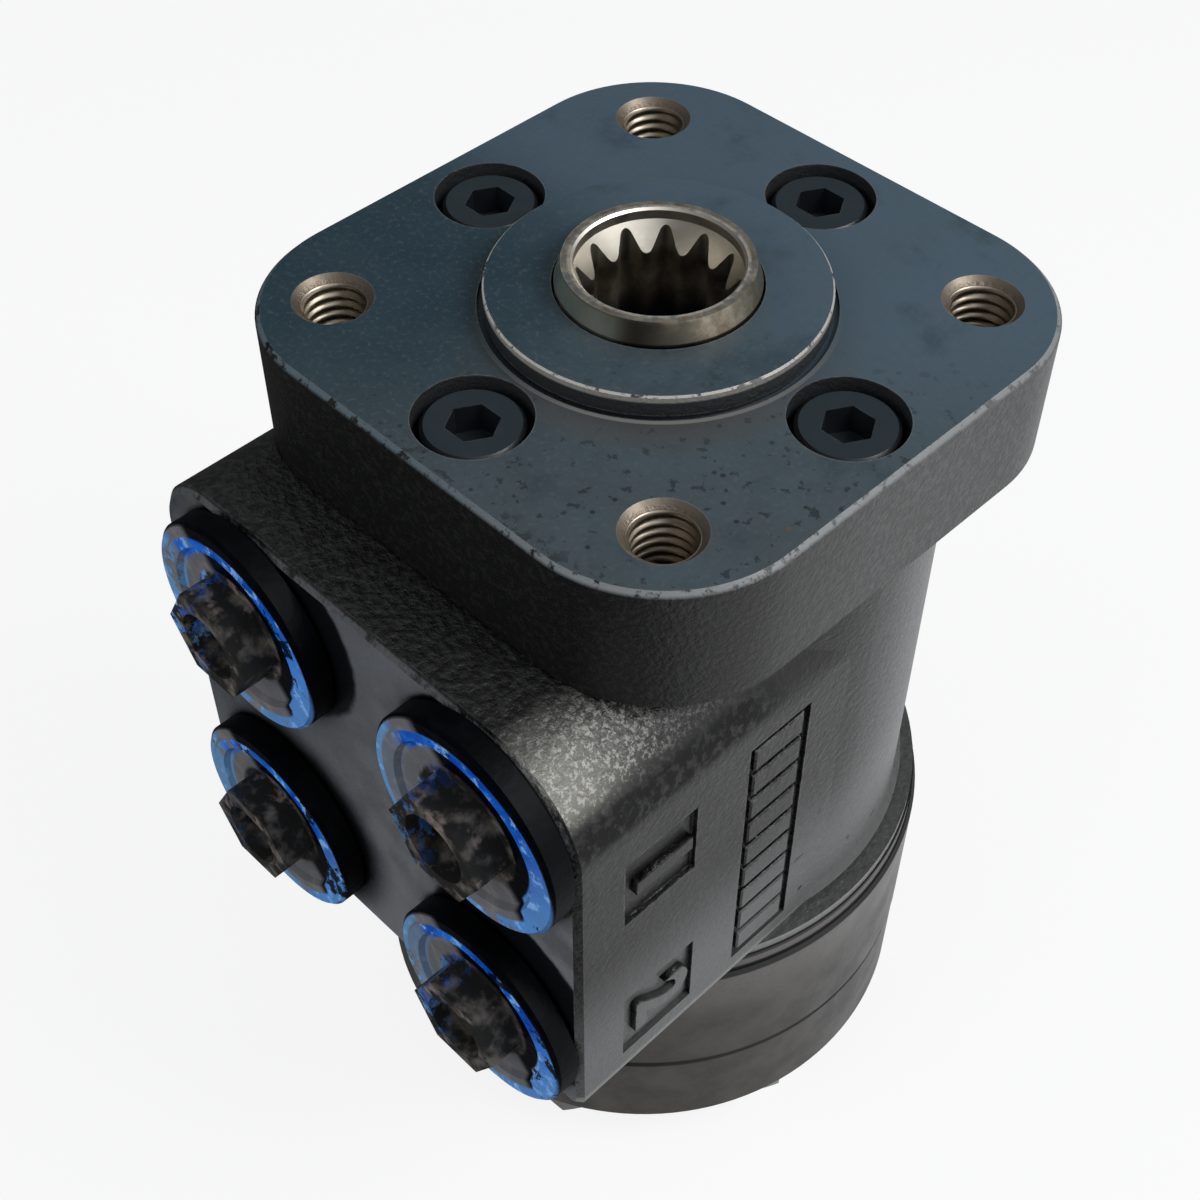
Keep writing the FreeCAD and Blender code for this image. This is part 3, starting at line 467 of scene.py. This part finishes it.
def housing_material():
    """Near-black paint over coarse sand casting, with painted highlights of glinting grains on the
    shoulder, painted light and shade on the side, edges and corners, a smoother and greyer machined port
    face, and clean machined iron inside the ports."""
    glint_grey = (0.27, 0.26, 0.24, 1)
    glint_bright = (0.44, 0.43, 0.385, 1)
    edge_highlight = (0.25, 0.25, 0.245, 1)
    brow_highlight = (0.085, 0.090, 0.095, 1)
    material, tree = new_material("cast_housing")
    place = places(tree)
    apart = split(tree, place)
    normal = split(tree, outward(tree))
    coarse = noise(tree, place, 1.1 * MM, 3.0, 0.55)
    grain = noise(tree, place, 0.45 * MM, 2.0)
    broad = noise(tree, place, 12 * MM, 3.0, 0.5)
    cast = blend_colours(tree, ramp(tree, coarse, 0.35, 0.7), grey(0.009), grey(0.025))
    # The +X side: painted shade darkens it under the plate, and painted light makes it lighter lower down
    # and round towards the back
    side = blend_colours(tree, ramp(tree, broad, 0.3, 0.7), grey(0.008), grey(0.016))
    side = cover(tree, side, grey(0.078), ramp(tree, apart["Y"], -6 * MM, 12 * MM))
    side = cover(tree, side, grey(0.122), ramp(tree, apart["Z"], -54 * MM, -80 * MM))
    on_side = ramp(tree, normal["X"], 0.5, 0.85)
    colour = cover(tree, cast, side, on_side)
    # Dark pits in that side, and slanting scratches towards its back
    pits = specks(tree, place, 5.5 * MM, 0.07, 0.11)
    slanting = {"Vector": place, "Rotation": (math.radians(-40), 0, 0), "Scale": (1, 0.22, 1)}
    slanted = add(tree, "Mapping", slanting).outputs[0]
    scratches = times(tree, specks(tree, slanted, 5.0 * MM, 0.05, 0.08),
                      ramp(tree, apart["Y"], -14 * MM, -8 * MM))
    colour = cover(tree, colour, grey(0.005), larger(tree, pits, scratches), on_side, 0.9)
    # Machined port face
    on_face = times(tree, ramp(tree, normal["Y"], -0.85, -0.95),
                    ramp(tree, apart["Y"], PORT_FACE_Y + 0.4 * MM, PORT_FACE_Y + 0.2 * MM))
    colour = cover(tree, colour, port_face(tree, place, apart), on_face)
    # Painted shade in corners, and light edges of thin paint with a painted highlight
    colour = cover(tree, colour, grey(0.002), corner_shade(tree, 1.6 * MM))
    thin = blotches(tree, place, 2.5 * MM, 0.38, 0.55, roughness=0.5)
    # Light edges: thin paint, and a painted highlight
    colour = cover(tree, colour, grey(0.15), edge_wear(tree, 0.6 * MM), thin, 0.7)
    # Painted highlights: glinting grains where the shoulder turns towards the side
    shoulder = times(tree, ramp(tree, normal["Z"], 0.40, 0.65), ramp(tree, normal["X"], 0.02, 0.20),
                     ramp(tree, apart["X"], 6 * MM, 22 * MM), ramp(tree, apart["Z"], -40 * MM, -32 * MM),
                     ramp(tree, normal["Z"], 0.99, 0.86, 0.3, 1.0),
                     ramp(tree, apart["Y"], -46 * MM, -28 * MM, 1.0, 0.35))
    near_port = ramp(tree, apart["Y"], -34 * MM, -51 * MM)
    glints = blotches(tree, place, 0.75 * MM, 0.48, 0.60, roughness=0.78)
    glints = larger(tree, glints, times(tree, near_port, 0.45))
    bare_metal_and_glints = blend_colours(tree, near_port, glint_grey, glint_bright)
    colour = cover(tree, colour, bare_metal_and_glints, shoulder, glints)
    # Painted shade: dark and dull where it has turned over
    turned_over_shade = times(tree, ramp(tree, normal["Z"], 0.02, 0.20), ramp(tree, normal["Z"], 0.62, 0.40),
                        ramp(tree, normal["X"], 0.5, 0.8), ramp(tree, apart["Y"], -8 * MM, -24 * MM),
                        blotches(tree, place, 1.3 * MM, 0.25, 0.55, 3.0))
    colour = cover(tree, colour, grey(0.004), turned_over_shade, 0.9)
    # Painted highlight along the side's lower edge
    low_edge_highlight = times(tree, ramp(tree, normal["X"], 0.3, 0.6),
                     ramp(tree, apart["X"], SIDE_X - 1.8 * MM, SIDE_X - 0.8 * MM),
                     ramp(tree, apart["Z"], HOUSING_BOTTOM + 3.0 * MM, HOUSING_BOTTOM + 2.2 * MM))
    colour = cover(tree, colour, edge_highlight, low_edge_highlight, 0.8)
    # Smoother, with painted light, on the low flange's upper face
    ledge = times(tree, ramp(tree, normal["Z"], 0.5, 0.8), ramp(tree, apart["Z"], -72 * MM, -78 * MM))
    colour = cover(tree, colour, blend_colours(tree, coarse, grey(0.03), grey(0.085)), ledge)
    # A thin painted highlight along the port face's upper edge
    brow = times(tree, ramp(tree, apart["Y"], PORT_FACE_Y + 0.75 * MM, PORT_FACE_Y + 0.45 * MM),
                 ramp(tree, normal["Z"], 0.15, 0.45), blotches(tree, place, 3 * MM, 0.36, 0.50))
    colour = cover(tree, colour, brow_highlight, brow, 0.8)
    # The plugs kept the ports free of paint
    bored = inside_ports(tree, place, apart)
    colour = cover(tree, colour, blend_colours(tree, coarse, grey(0.20), grey(0.32)), bored)
    # Deep casting, nearly smooth where it is machined
    rugged = times(tree, remainder(tree, times(tree, on_side, 0.75)), remainder(tree, bored),
                   remainder(tree, times(tree, on_face, 0.9)), remainder(tree, times(tree, ledge, 0.7)))
    relief = bump(tree, coarse, 0.9, times(tree, rugged, 0.7 * MM))
    relief = bump(tree, grain, 0.5, 0.12 * MM, relief)
    rough = larger(tree, ramp(tree, grain, 0.3, 0.7, 0.40, 0.28), times(tree, turned_over_shade, 0.85))
    finish_material(tree, {"Base Color": colour, "Metallic": times(tree, bored, 0.7), "Roughness": rough,
                           "Normal": relief, "Specular IOR Level": 0.30})
    return material


# Ring, spacer and cap

def stack_material():
    """Satin dark paint on the turned ring, spacer and cap, with painted light towards the top of the ring,
    and black lines along the joints."""
    material, tree = new_material("ring_paint")
    place = places(tree)
    height = split(tree, place)["Z"]
    broad = noise(tree, place, 7 * MM)
    grain = noise(tree, place, 0.7 * MM, 3.0)
    colour = blend_colours(tree, ramp(tree, broad, 0.3, 0.7), grey(0.048, -0.08), grey(0.072, -0.08))
    # Painted light towards the top of the ring
    upper = ramp(tree, height, RING_BOTTOM + 8 * MM, SPACER_BOTTOM)
    colour = cover(tree, colour, grey(0.150, -0.05), upper, 0.8)
    colour = cover(tree, colour, grey(0.07), ramp(tree, grain, 0.5, 0.7), 0.4)
    for joint in (HOUSING_BOTTOM, SPACER_BOTTOM, RING_BOTTOM):
        distance = math_node(tree, "ABSOLUTE", minus(tree, height, joint))
        line = ramp(tree, distance, 0.55 * MM, 0.95 * MM, 1.0, 0.0)
        colour = cover(tree, colour, grey(0.003), line, 0.95)
    relief = bump(tree, grain, 0.4, 0.05 * MM)
    rough = ramp(tree, broad, 0.3, 0.7, 0.42, 0.32)
    finish_material(tree, {"Base Color": colour, "Roughness": rough, "Normal": relief,
                           "Specular IOR Level": 0.25})
    return material


# Steel, seals and other small pieces

def turned_steel(name, colour, roughness):
    """Turned or ground steel: fine rings across the axis and faint stains."""
    material, tree = new_material(name)
    place = places(tree)
    stain = noise(tree, place, 6 * MM)
    tone = blend_colours(tree, ramp(tree, stain, 0.35, 0.7), darkened(colour, 0.62), colour)
    rough = plus(tree, roughness - 0.08, times(tree, stain, 0.2))
    relief = bump(tree, turning_marks(tree, place, 0.35 * MM, 0.6), 0.25, 0.02 * MM)
    finish_material(tree, {"Base Color": tone, "Metallic": 1.0, "Roughness": rough, "Normal": relief})
    return material


def spool_material():
    """Straw-coloured steel neck with a painted rim, painted light round its left, and painted shade down in
    the spline.
    """
    dark_straw = (0.20, 0.165, 0.12, 1)
    straw = (0.46, 0.40, 0.31, 1)
    spline_shade = (0.018, 0.017, 0.016, 1)
    clean = (0.78, 0.74, 0.66, 1)
    left_straw_highlight = (0.95, 0.92, 0.74, 1)
    oil_stain = (0.075, 0.070, 0.055, 1)
    rim_paint = (0.07, 0.085, 0.095, 1)
    material, tree = new_material("spool_steel")
    place = places(tree)
    apart = split(tree, place)
    up = split(tree, outward(tree))["Z"]
    radius = from_axis(tree, place, (0, 0, 0))
    stain = blotches(tree, place, 3 * MM, 0.35, 0.7, 5.0, 0.65)
    steel = blend_colours(tree, stain, dark_straw, straw)
    # Painted shade down in the spline
    inside = times(tree, ramp(tree, radius, SPLINE_MOUTH_R + 0.6 * MM, SPLINE_MOUTH_R + 0.1 * MM),
                   ramp(tree, apart["Z"], 0.0, -9 * MM))
    steel = cover(tree, steel, spline_shade, inside)
    # The cone that leads into the spline is cleaner
    cone = times(tree, ramp(tree, radius, SPLINE_MOUTH_R + 0.9 * MM, SPLINE_MOUTH_R + 0.5 * MM),
                 ramp(tree, apart["Z"], -1 * MM, 1.5 * MM))
    steel = cover(tree, steel, clean, cone, 0.7)
    # Oil stain down the front of the neck, and painted light in lighter straw round its left
    front = math_node(tree, "DIVIDE", minus(tree, apart["X"], apart["Y"]), radius)
    left = math_node(tree, "DIVIDE", plus(tree, apart["X"], apart["Y"]), radius)
    wall = ramp(tree, radius, RIM_R - 0.15 * MM, RIM_R + 0.15 * MM)
    steel = cover(tree, steel, left_straw_highlight, wall, ramp(tree, left, -0.25, -0.9))
    steel = cover(tree, steel, oil_stain, wall, ramp(tree, front, 1.25, 1.38), 0.8)
    # Paint on the rim, rubbed through in places
    rim = times(tree, ramp(tree, up, 0.9, 0.97),
                ramp(tree, apart["Z"], NECK_TOP - 0.3 * MM, NECK_TOP - 0.1 * MM))
    paint = times(tree, rim, blotches(tree, place, 1.2 * MM, 0.35, 0.65, roughness=0.5))
    colour = cover(tree, steel, rim_paint, paint, 0.85)
    relief = bump(tree, turning_marks(tree, place, 0.3 * MM, 0.5), 0.3, 0.02 * MM)
    metal = remainder(tree, larger(tree, times(tree, paint, 0.7), times(tree, inside, 0.7)))
    rough = larger(tree, ramp(tree, stain, 0, 1, 0.38, 0.28), times(tree, rim, 0.5))
    finish_material(tree, {"Base Color": colour, "Metallic": metal, "Roughness": rough, "Normal": relief})
    return material


def plain_finish(name, colour, roughness, metallic, specular=0.5):
    """Small piece: one colour with soft patches and a light grain."""
    material, tree = new_material(name)
    place = places(tree)
    patches = noise(tree, place, 3 * MM)
    tone = blend_colours(tree, patches, darkened(colour, 0.7), darkened(colour, 1.25))
    rough = ramp(tree, patches, 0.3, 0.7, roughness * 1.15, roughness * 0.85)
    finish_material(tree, {"Base Color": tone, "Metallic": metallic, "Roughness": rough,
                           "Normal": light_grain(tree, place), "Specular IOR Level": specular})
    return material


def screw_material():
    """Blackened steel, with a breath of the plate's teal paint on what faces up."""
    material, tree = new_material("black_oxide")
    place = places(tree)
    up = split(tree, outward(tree))["Z"]
    patches = noise(tree, place, 3 * MM)
    black = blend_colours(tree, patches, (0.004, 0.006, 0.008, 1), (0.010, 0.012, 0.014, 1))
    teal = blend_colours(tree, patches, (0.009, 0.015, 0.019, 1), (0.016, 0.028, 0.036, 1))
    colour = cover(tree, black, teal, ramp(tree, up, 0.85, 0.95))
    lighter_patches = times(tree, edge_wear(tree, 0.4 * MM), ramp(tree, patches, 0.45, 0.6))
    colour = cover(tree, colour, (0.06, 0.07, 0.08, 1), lighter_patches, 0.6)
    rough = ramp(tree, patches, 0.3, 0.7, 0.42, 0.32)
    finish_material(tree, {"Base Color": colour, "Roughness": rough, "Normal": light_grain(tree, place),
                           "Specular IOR Level": 0.4})
    return material


# Plugs

def plug_blue_tone(tree, place, apart, left):
    """Moulded blue, deeper and lighter in patches, paler at the left, with a painted reflection paler at
    the lower right and light glints as painted highlights."""
    deep_blue = (0.0, 0.045, 0.33, 1)
    bright_blue = (0.012, 0.16, 0.68, 1)
    reflected_low_blue = (0.11, 0.28, 0.56, 1)
    left_blue = (0.10, 0.27, 0.52, 1)
    glint_blue = (0.22, 0.45, 0.84, 1)
    tone = blend_colours(tree, blotches(tree, place, 6 * MM, 0.3, 0.7), deep_blue, bright_blue)
    # Painted reflection: paler blue towards the lower right
    lower_right = ramp(tree, minus(tree, apart["X"], apart["Z"]), 0.0, 20 * MM)
    tone = cover(tree, tone, reflected_low_blue, lower_right, 0.7)
    tone = cover(tree, tone, left_blue, left)
    glints = blotches(tree, place, 3.4 * MM, 0.53, 0.62, roughness=0.65)
    return cover(tree, tone, glint_blue, glints, 0.8)


def plug_paint(tree, place, apart, radius, front, hub):
    """Black paint, browner on the hub with painted highlights, and a grey painted reflection on the face,
    left black as painted shadow to the hub's right.
    """
    patches = blotches(tree, place, 2.5 * MM, 0.45, 0.75, roughness=0.5)
    black = blend_colours(tree, patches, (0.0003, 0.0006, 0.0012, 1), (0.0015, 0.002, 0.003, 1))
    lumps = blend_colours(tree, patches, (0.016, 0.016, 0.015, 1), (0.125, 0.113, 0.100, 1))
    reflected_grey = blend_colours(tree, patches, (0.125, 0.125, 0.135, 1), (0.185, 0.178, 0.175, 1))
    paint = cover(tree, black, lumps, hub)
    # Painted reflection: the black face shows grey, except towards the hub's right, left black as painted
    # shadow
    lower_left = ramp(tree, plus(tree, apart["X"], times(tree, apart["Z"], 0.8)), 4 * MM, 1 * MM)
    painted_shading = times(tree, front, ramp(tree, radius, HUB_R - 0.1 * MM, HUB_R + 0.7 * MM),
                    ramp(tree, radius, PLUG_R - 0.2 * MM, PLUG_R - 0.6 * MM), lower_left)
    paint = cover(tree, paint, reflected_grey, painted_shading)
    # Painted highlights: light brown-pink patches on the hub
    lighter_patches = times(tree, hub, blotches(tree, place, 3.2 * MM, 0.58, 0.72, 3.0))
    return cover(tree, paint, (0.24, 0.19, 0.17, 1), lighter_patches, 0.7)


def plug_material(name, centre):
    """Blue moulded plastic, bare on the upper right of its rim, under black paint on its side and hub, with
    a grey painted reflection on its face and painted highlights on its hub and rim."""
    material, tree = new_material("plug_" + name)
    rim_left, hub_share = PLUG_BLUE[name]
    place = places(tree)
    shift = {0: place, 1: (centre[0], 0, centre[1])}
    middle = add(tree, "VectorMath", shift, operation="SUBTRACT").outputs[0]
    apart = split(tree, middle)
    radius = from_axis(tree, middle, (0, 0, 0), (1, 0, 1))
    facing = times(tree, split(tree, outward(tree))["Y"], -1.0)
    front = larger(tree, ramp(tree, facing, 0.55, 0.8),
                   ramp(tree, radius, PLUG_R - 2.8 * MM, PLUG_R - 3.2 * MM))
    hub = ramp(tree, radius, HUB_R + 0.9 * MM, HUB_R + 0.2 * MM)
    # Blue crescent, a little lower than the rim, and a thin line of blue round the rest
    low_radius = from_axis(tree, middle, (0.5 * MM, 0, -1.2 * MM), (1, 0, 1))
    inner = minus(tree, radius, times(tree, ramp(tree, apart["Z"], -5 * MM, -9 * MM), 2.6 * MM))
    band = times(tree, front, ramp(tree, low_radius, PLUG_R - 0.7 * MM, PLUG_R - 1.1 * MM),
                 ramp(tree, inner, PLUG_R - 5.1 * MM, PLUG_R - 4.6 * MM))
    line = times(tree, front, ramp(tree, radius, PLUG_R - 1.8 * MM, PLUG_R - 1.3 * MM),
                 ramp(tree, radius, PLUG_R - 0.3 * MM, PLUG_R - 0.6 * MM))
    right = ramp(tree, plus(tree, apart["X"], times(tree, apart["Z"], 0.7)), -8 * MM, -4 * MM)
    left = remainder(tree, right)
    blotch = blotches(tree, place, 5 * MM, 0.56, 0.60, 5.0, 0.7)
    kept = remainder(tree, times(tree, blotch, 0.95))
    rim_blue = larger(tree, times(tree, band, kept, larger(tree, right, rim_left)),
                      times(tree, line, kept, left, 0.85))
    # Blue smears on the left of the hub
    smear = blotches(tree, place, 2.4 * MM, 0.50, 0.56, 5.0, 0.7)
    hub_blue = times(tree, ramp(tree, apart["X"], 0.0, -6 * MM), smear, hub, hub_share)
    paint = plug_paint(tree, place, apart, radius, front, hub)
    colour = cover(tree, paint, plug_blue_tone(tree, place, apart, left), larger(tree, rim_blue, hub_blue))
    relief = bump(tree, noise(tree, place, 1.2 * MM, 3.0, 0.5), 0.5, 0.18 * MM)
    rough = ramp(tree, facing, 0.55, 0.8, 0.5, 0.28)
    finish_material(tree, {"Base Color": colour, "Roughness": rough, "Normal": relief,
                           "Specular IOR Level": 0.07})
    return material


def dress(node, material):
    """Gives a CAD node its finish."""
    piece = nodes[node]
    piece.data.materials.clear()
    piece.data.materials.append(material)


# Pieces that the frame leaves to this script

def threads():
    """M10 thread in each tapped hole. The wall's radius rises and falls as a triangle wave of height over
    pitch plus turn, cut flat at root and crest and fading in below the mouth, and a plain outer wall
    closes the ring."""
    points_round = 72
    steps_per_pitch = 6
    wall_gap = 0.02 * MM
    wall_thickness = 0.15 * MM
    flank_slope = 1.35
    root_flat = 0.1
    high = TAPPED_HOLE_R - TAPPED_MOUTH_R + 0.1 * MM
    low = -TAPPED_DEPTH + 1.0 * MM
    heights = np.linspace(high, low, int((high - low) / M10_PITCH * steps_per_pitch))
    angles = np.linspace(0, 2 * math.pi, points_round, endpoint=False)
    angle, height = np.meshgrid(angles, heights, indexing="ij")
    phase = (height / M10_PITCH + angle / (2 * math.pi)) % 1.0
    wave = np.clip((1.0 - np.abs(2.0 * phase - 1.0)) * flank_slope - root_flat, 0, 1)
    fade = np.clip((high - height) / (0.7 * M10_PITCH), 0, 1)
    inner = TAPPED_HOLE_R - wall_gap - (TAPPED_HOLE_R - M10_CREST_R) * wave * fade
    outer = np.full((points_round, 2), TAPPED_HOLE_R + wall_thickness)
    radius = np.concatenate([inner, outer], 1)
    height = np.concatenate([height, np.tile([low, high], (points_round, 1))], 1)
    angle = np.concatenate([angle, angle[:, :2]], 1)
    steel = turned_steel("thread_steel", (0.36, 0.31, 0.25, 1), 0.34)
    for k, (side, depth) in enumerate(((1, 1), (-1, 1), (-1, -1), (1, -1))):
        x = side * HOLE_CORNER + radius * np.cos(angle)
        y = depth * HOLE_CORNER + radius * np.sin(angle)
        piece = grid_piece("hole_thread_%d" % (k + 1), np.stack([x, y, height], -1), "root")
        piece.data.materials.append(steel)


def numeral(text, centre_y, centre_z, material):
    """Raised cast numeral on a recessed panel, its top towards +Y."""
    curve = bpy.data.curves.new("numeral_" + text, "FONT")
    curve.body = text
    curve.size = NUMERAL_SIZE
    curve.align_x = "CENTER"
    curve.align_y = "CENTER"
    curve.extrude = PANEL_DEPTH * 0.6
    curve.bevel_depth = 0.15 * MM
    curve.offset = 0.45 * MM
    flat = bpy.data.objects.new("numeral_flat", curve)
    mesh = bpy.data.meshes.new_from_object(flat)
    bpy.data.objects.remove(flat)
    turn = Matrix(((0, 0, 1), (0, 1, 0), (-1, 0, 0))).to_4x4()
    mesh.transform(Matrix.Translation((SIDE_X - PANEL_DEPTH * 0.5, centre_y, centre_z)) @ turn)
    piece = bpy.data.objects.new("port_numeral_" + text, mesh)
    bpy.context.scene.collection.objects.link(piece)
    mesh.materials.append(material)
    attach(piece, "root")


def side_ribs(material):
    """Plain raised bars in a column up the long panel. Each is a box of three rings of four corners: at the
    panel's floor, where its bevel starts, and at its top, drawn in by the bevel."""
    low_y, high_y, low_z, high_z = LONG_PANEL
    pitch = (high_z - low_z - RIB_MARGIN) / RIB_COUNT
    floor = SIDE_X - PANEL_DEPTH - 0.05 * MM
    ring_x = np.array([floor, SIDE_X - RIB_BEVEL, SIDE_X])
    drawn_in = np.array([0.0, 0.0, RIB_BEVEL])[:, None]
    # Corners in order round the ring: which end in y, which in z, and the way inwards from each end
    end_y = np.array([0, 1, 1, 0])
    end_z = np.array([0, 0, 1, 1])
    inwards = np.array([1, -1])
    low_end = low_z + RIB_MARGIN + np.arange(RIB_COUNT) * pitch
    ends_y = np.array([low_y + RIB_MARGIN, high_y - RIB_MARGIN])
    ends_z = np.stack([low_end, low_end + pitch - RIB_MARGIN], -1)
    y = ends_y[end_y] + inwards[end_y] * drawn_in
    z = ends_z[:, None, end_z] + inwards[end_z] * drawn_in
    x = np.broadcast_to(ring_x[:, None], z.shape)
    y = np.broadcast_to(y, z.shape)
    points = np.stack([x, y, z], -1).reshape(-1, 3)
    walls = [[ring + c, ring + (c + 1) % 4, ring + 4 + (c + 1) % 4, ring + 4 + c]
             for ring in (0, 4) for c in range(4)]
    one_rib = np.array(walls + [[8, 9, 10, 11], [3, 2, 1, 0]])
    faces = (one_rib + 12 * np.arange(RIB_COUNT)[:, None, None]).reshape(-1, 4)
    piece = mesh_piece("side_panel_ribs", points, faces, "root", False)
    piece.data.materials.append(material)


# Stage

def pale_floor():
    """Floor at the unit's foot, nearly white to the camera and matt to the light."""
    height = cad_box[0].z
    mesh = bpy.data.meshes.new("floor")
    ways = ((-1, -1), (1, -1), (1, 1), (-1, 1))
    corners = [(x * FLOOR_HALF, y * FLOOR_HALF, height) for x, y in ways]
    mesh.from_pydata(corners, [], [(0, 1, 2, 3)])
    floor = bpy.data.objects.new("floor", mesh)
    bpy.context.scene.collection.objects.link(floor)
    material, tree = new_material("pale_floor")
    rays = add(tree, "LightPath").outputs
    apart = split(tree, places(tree))
    shine = add(tree, "Emission", {"Color": WHITE, "Strength": 1.0}).outputs[0]
    matt = add(tree, "BsdfDiffuse", {"Color": grey(0.82)}).outputs[0]
    seen = times(tree, rays["Is Camera Ray"], 0.85)
    mixed = add(tree, "MixShader", {0: seen, 1: matt, 2: shine}).outputs[0]
    # What polished faces see of the floor: bright on the right, dark on the left
    right = ramp(tree, plus(tree, apart["X"], apart["Y"]), -80 * MM, 140 * MM, 0.06, 0.85)
    mirrored = add(tree, "Emission", {"Color": (0.97, 0.98, 1.0, 1), "Strength": right}).outputs[0]
    mixed = add(tree, "MixShader", {0: rays["Is Glossy Ray"], 1: mixed, 2: mirrored}).outputs[0]
    add(tree, "OutputMaterial", {"Surface": mixed})
    mesh.materials.append(material)


def studio_world():
    """Soft light from all round, white to the camera. Polished faces see it brighter on one side and
    above."""
    world = bpy.data.worlds.new("studio")
    bpy.context.scene.world = world
    world.use_nodes = True
    tree = world.node_tree
    tree.nodes.clear()
    rays = add(tree, "LightPath").outputs
    way = add(tree, "TexCoord").outputs["Generated"]
    toward = add(tree, "VectorMath", {0: way, 1: BRIGHT_SIDE}, operation="DOT_PRODUCT").outputs["Value"]
    strength = plus(tree, ramp(tree, toward, 0.25, 0.85, 0.08, 1.3),
                    ramp(tree, split(tree, way)["Z"], 0.2, 0.9, 0.0, 0.25))
    soft = add(tree, "Background", {"Color": (0.92, 0.96, 1.0, 1), "Strength": 0.42}).outputs[0]
    mirrored = add(tree, "Background", {"Color": (0.96, 0.98, 1.0, 1), "Strength": strength}).outputs[0]
    white = add(tree, "Background", {"Color": WHITE, "Strength": 1.0}).outputs[0]
    mixed = add(tree, "MixShader", {0: rays["Is Glossy Ray"], 1: soft, 2: mirrored}).outputs[0]
    mixed = add(tree, "MixShader", {0: rays["Is Camera Ray"], 1: mixed, 2: white}).outputs[0]
    add(tree, "OutputWorld", {"Surface": mixed})


def lamps():
    """Square soft lamps, all turned to the unit's upper part."""
    for name, (place, power, width, in_mirrors) in LAMPS.items():
        lamp = bpy.data.lights.new(name, "AREA")
        lamp.energy = power
        lamp.size = width
        lamp.shape = "SQUARE"
        holder = bpy.data.objects.new(name, lamp)
        holder.location = place
        holder.rotation_euler = (LAMPS_AIM - Vector(place)).to_track_quat("-Z", "Y").to_euler()
        holder.visible_glossy = in_mirrors
        bpy.context.scene.collection.objects.link(holder)


def camera():
    """The photograph's own viewpoint."""
    lens = bpy.data.cameras.new("camera")
    lens.lens = CAMERA_LENS
    lens.sensor_width = CAMERA_SENSOR
    lens.clip_start = CAMERA_NEAR
    eye = bpy.data.objects.new("camera", lens)
    facing = CAMERA_LOOK.to_track_quat("-Z", "Y").to_matrix().to_4x4()
    eye.matrix_world = Matrix.Translation(CAMERA_PLACE) @ facing @ Matrix.Rotation(CAMERA_ROLL, 4, "Z")
    bpy.context.scene.collection.objects.link(eye)
    bpy.context.scene.camera = eye


camera()
pale_floor()
studio_world()
lamps()
bpy.context.scene.view_settings.view_transform = "Standard"

dark_cast = housing_material()
stack_paint = stack_material()
inner_steel = turned_steel("inner_steel", (0.50, 0.50, 0.51, 1), 0.32)
zinc = plain_finish("zinc", (0.55, 0.55, 0.52, 1), 0.38, 1.0)
copper = plain_finish("copper", (0.60, 0.32, 0.20, 1), 0.35, 1.0)
rubber = plain_finish("seal_rubber", (0.006, 0.006, 0.007, 1), 0.6, 0.0, specular=0.3)
polished = plain_finish("ball_steel", (0.75, 0.75, 0.76, 1), 0.12, 1.0)
blued = plain_finish("spring_steel", (0.20, 0.23, 0.28, 1), 0.3, 1.0)

dress("mounting_plate", plate_material())
dress("housing", dark_cast)
for node in ("spacer_plate", "gerotor_ring", "end_cap"):
    dress(node, stack_paint)
dress("spool", spool_material())
for node in ("sleeve", "spring_ring", "cross_pin", "cardan_shaft", "rotor_spacer", "gerotor_star",
             "ball_stop", "bearing_race_upper", "bearing_race_lower", "thrust_bearing"):
    dress(node, inner_steel)
dress("mounting_plate_screws", screw_material())
dress("end_cap_screws", zinc)
dress("end_cap_washers", copper)
for node in ("plate_seal", "shaft_seal", "dust_seal", "housing_seal", "ring_seal", "end_cap_seal"):
    dress(node, rubber)
dress("check_ball", polished)
dress("centring_springs", blued)
for name, centre in PORTS.items():
    dress("port_plug_" + name, plug_material(name, centre))

threads()
for text, (centre_y, centre_z) in NUMERALS.items():
    numeral(text, centre_y, centre_z, dark_cast)
side_ribs(dark_cast)
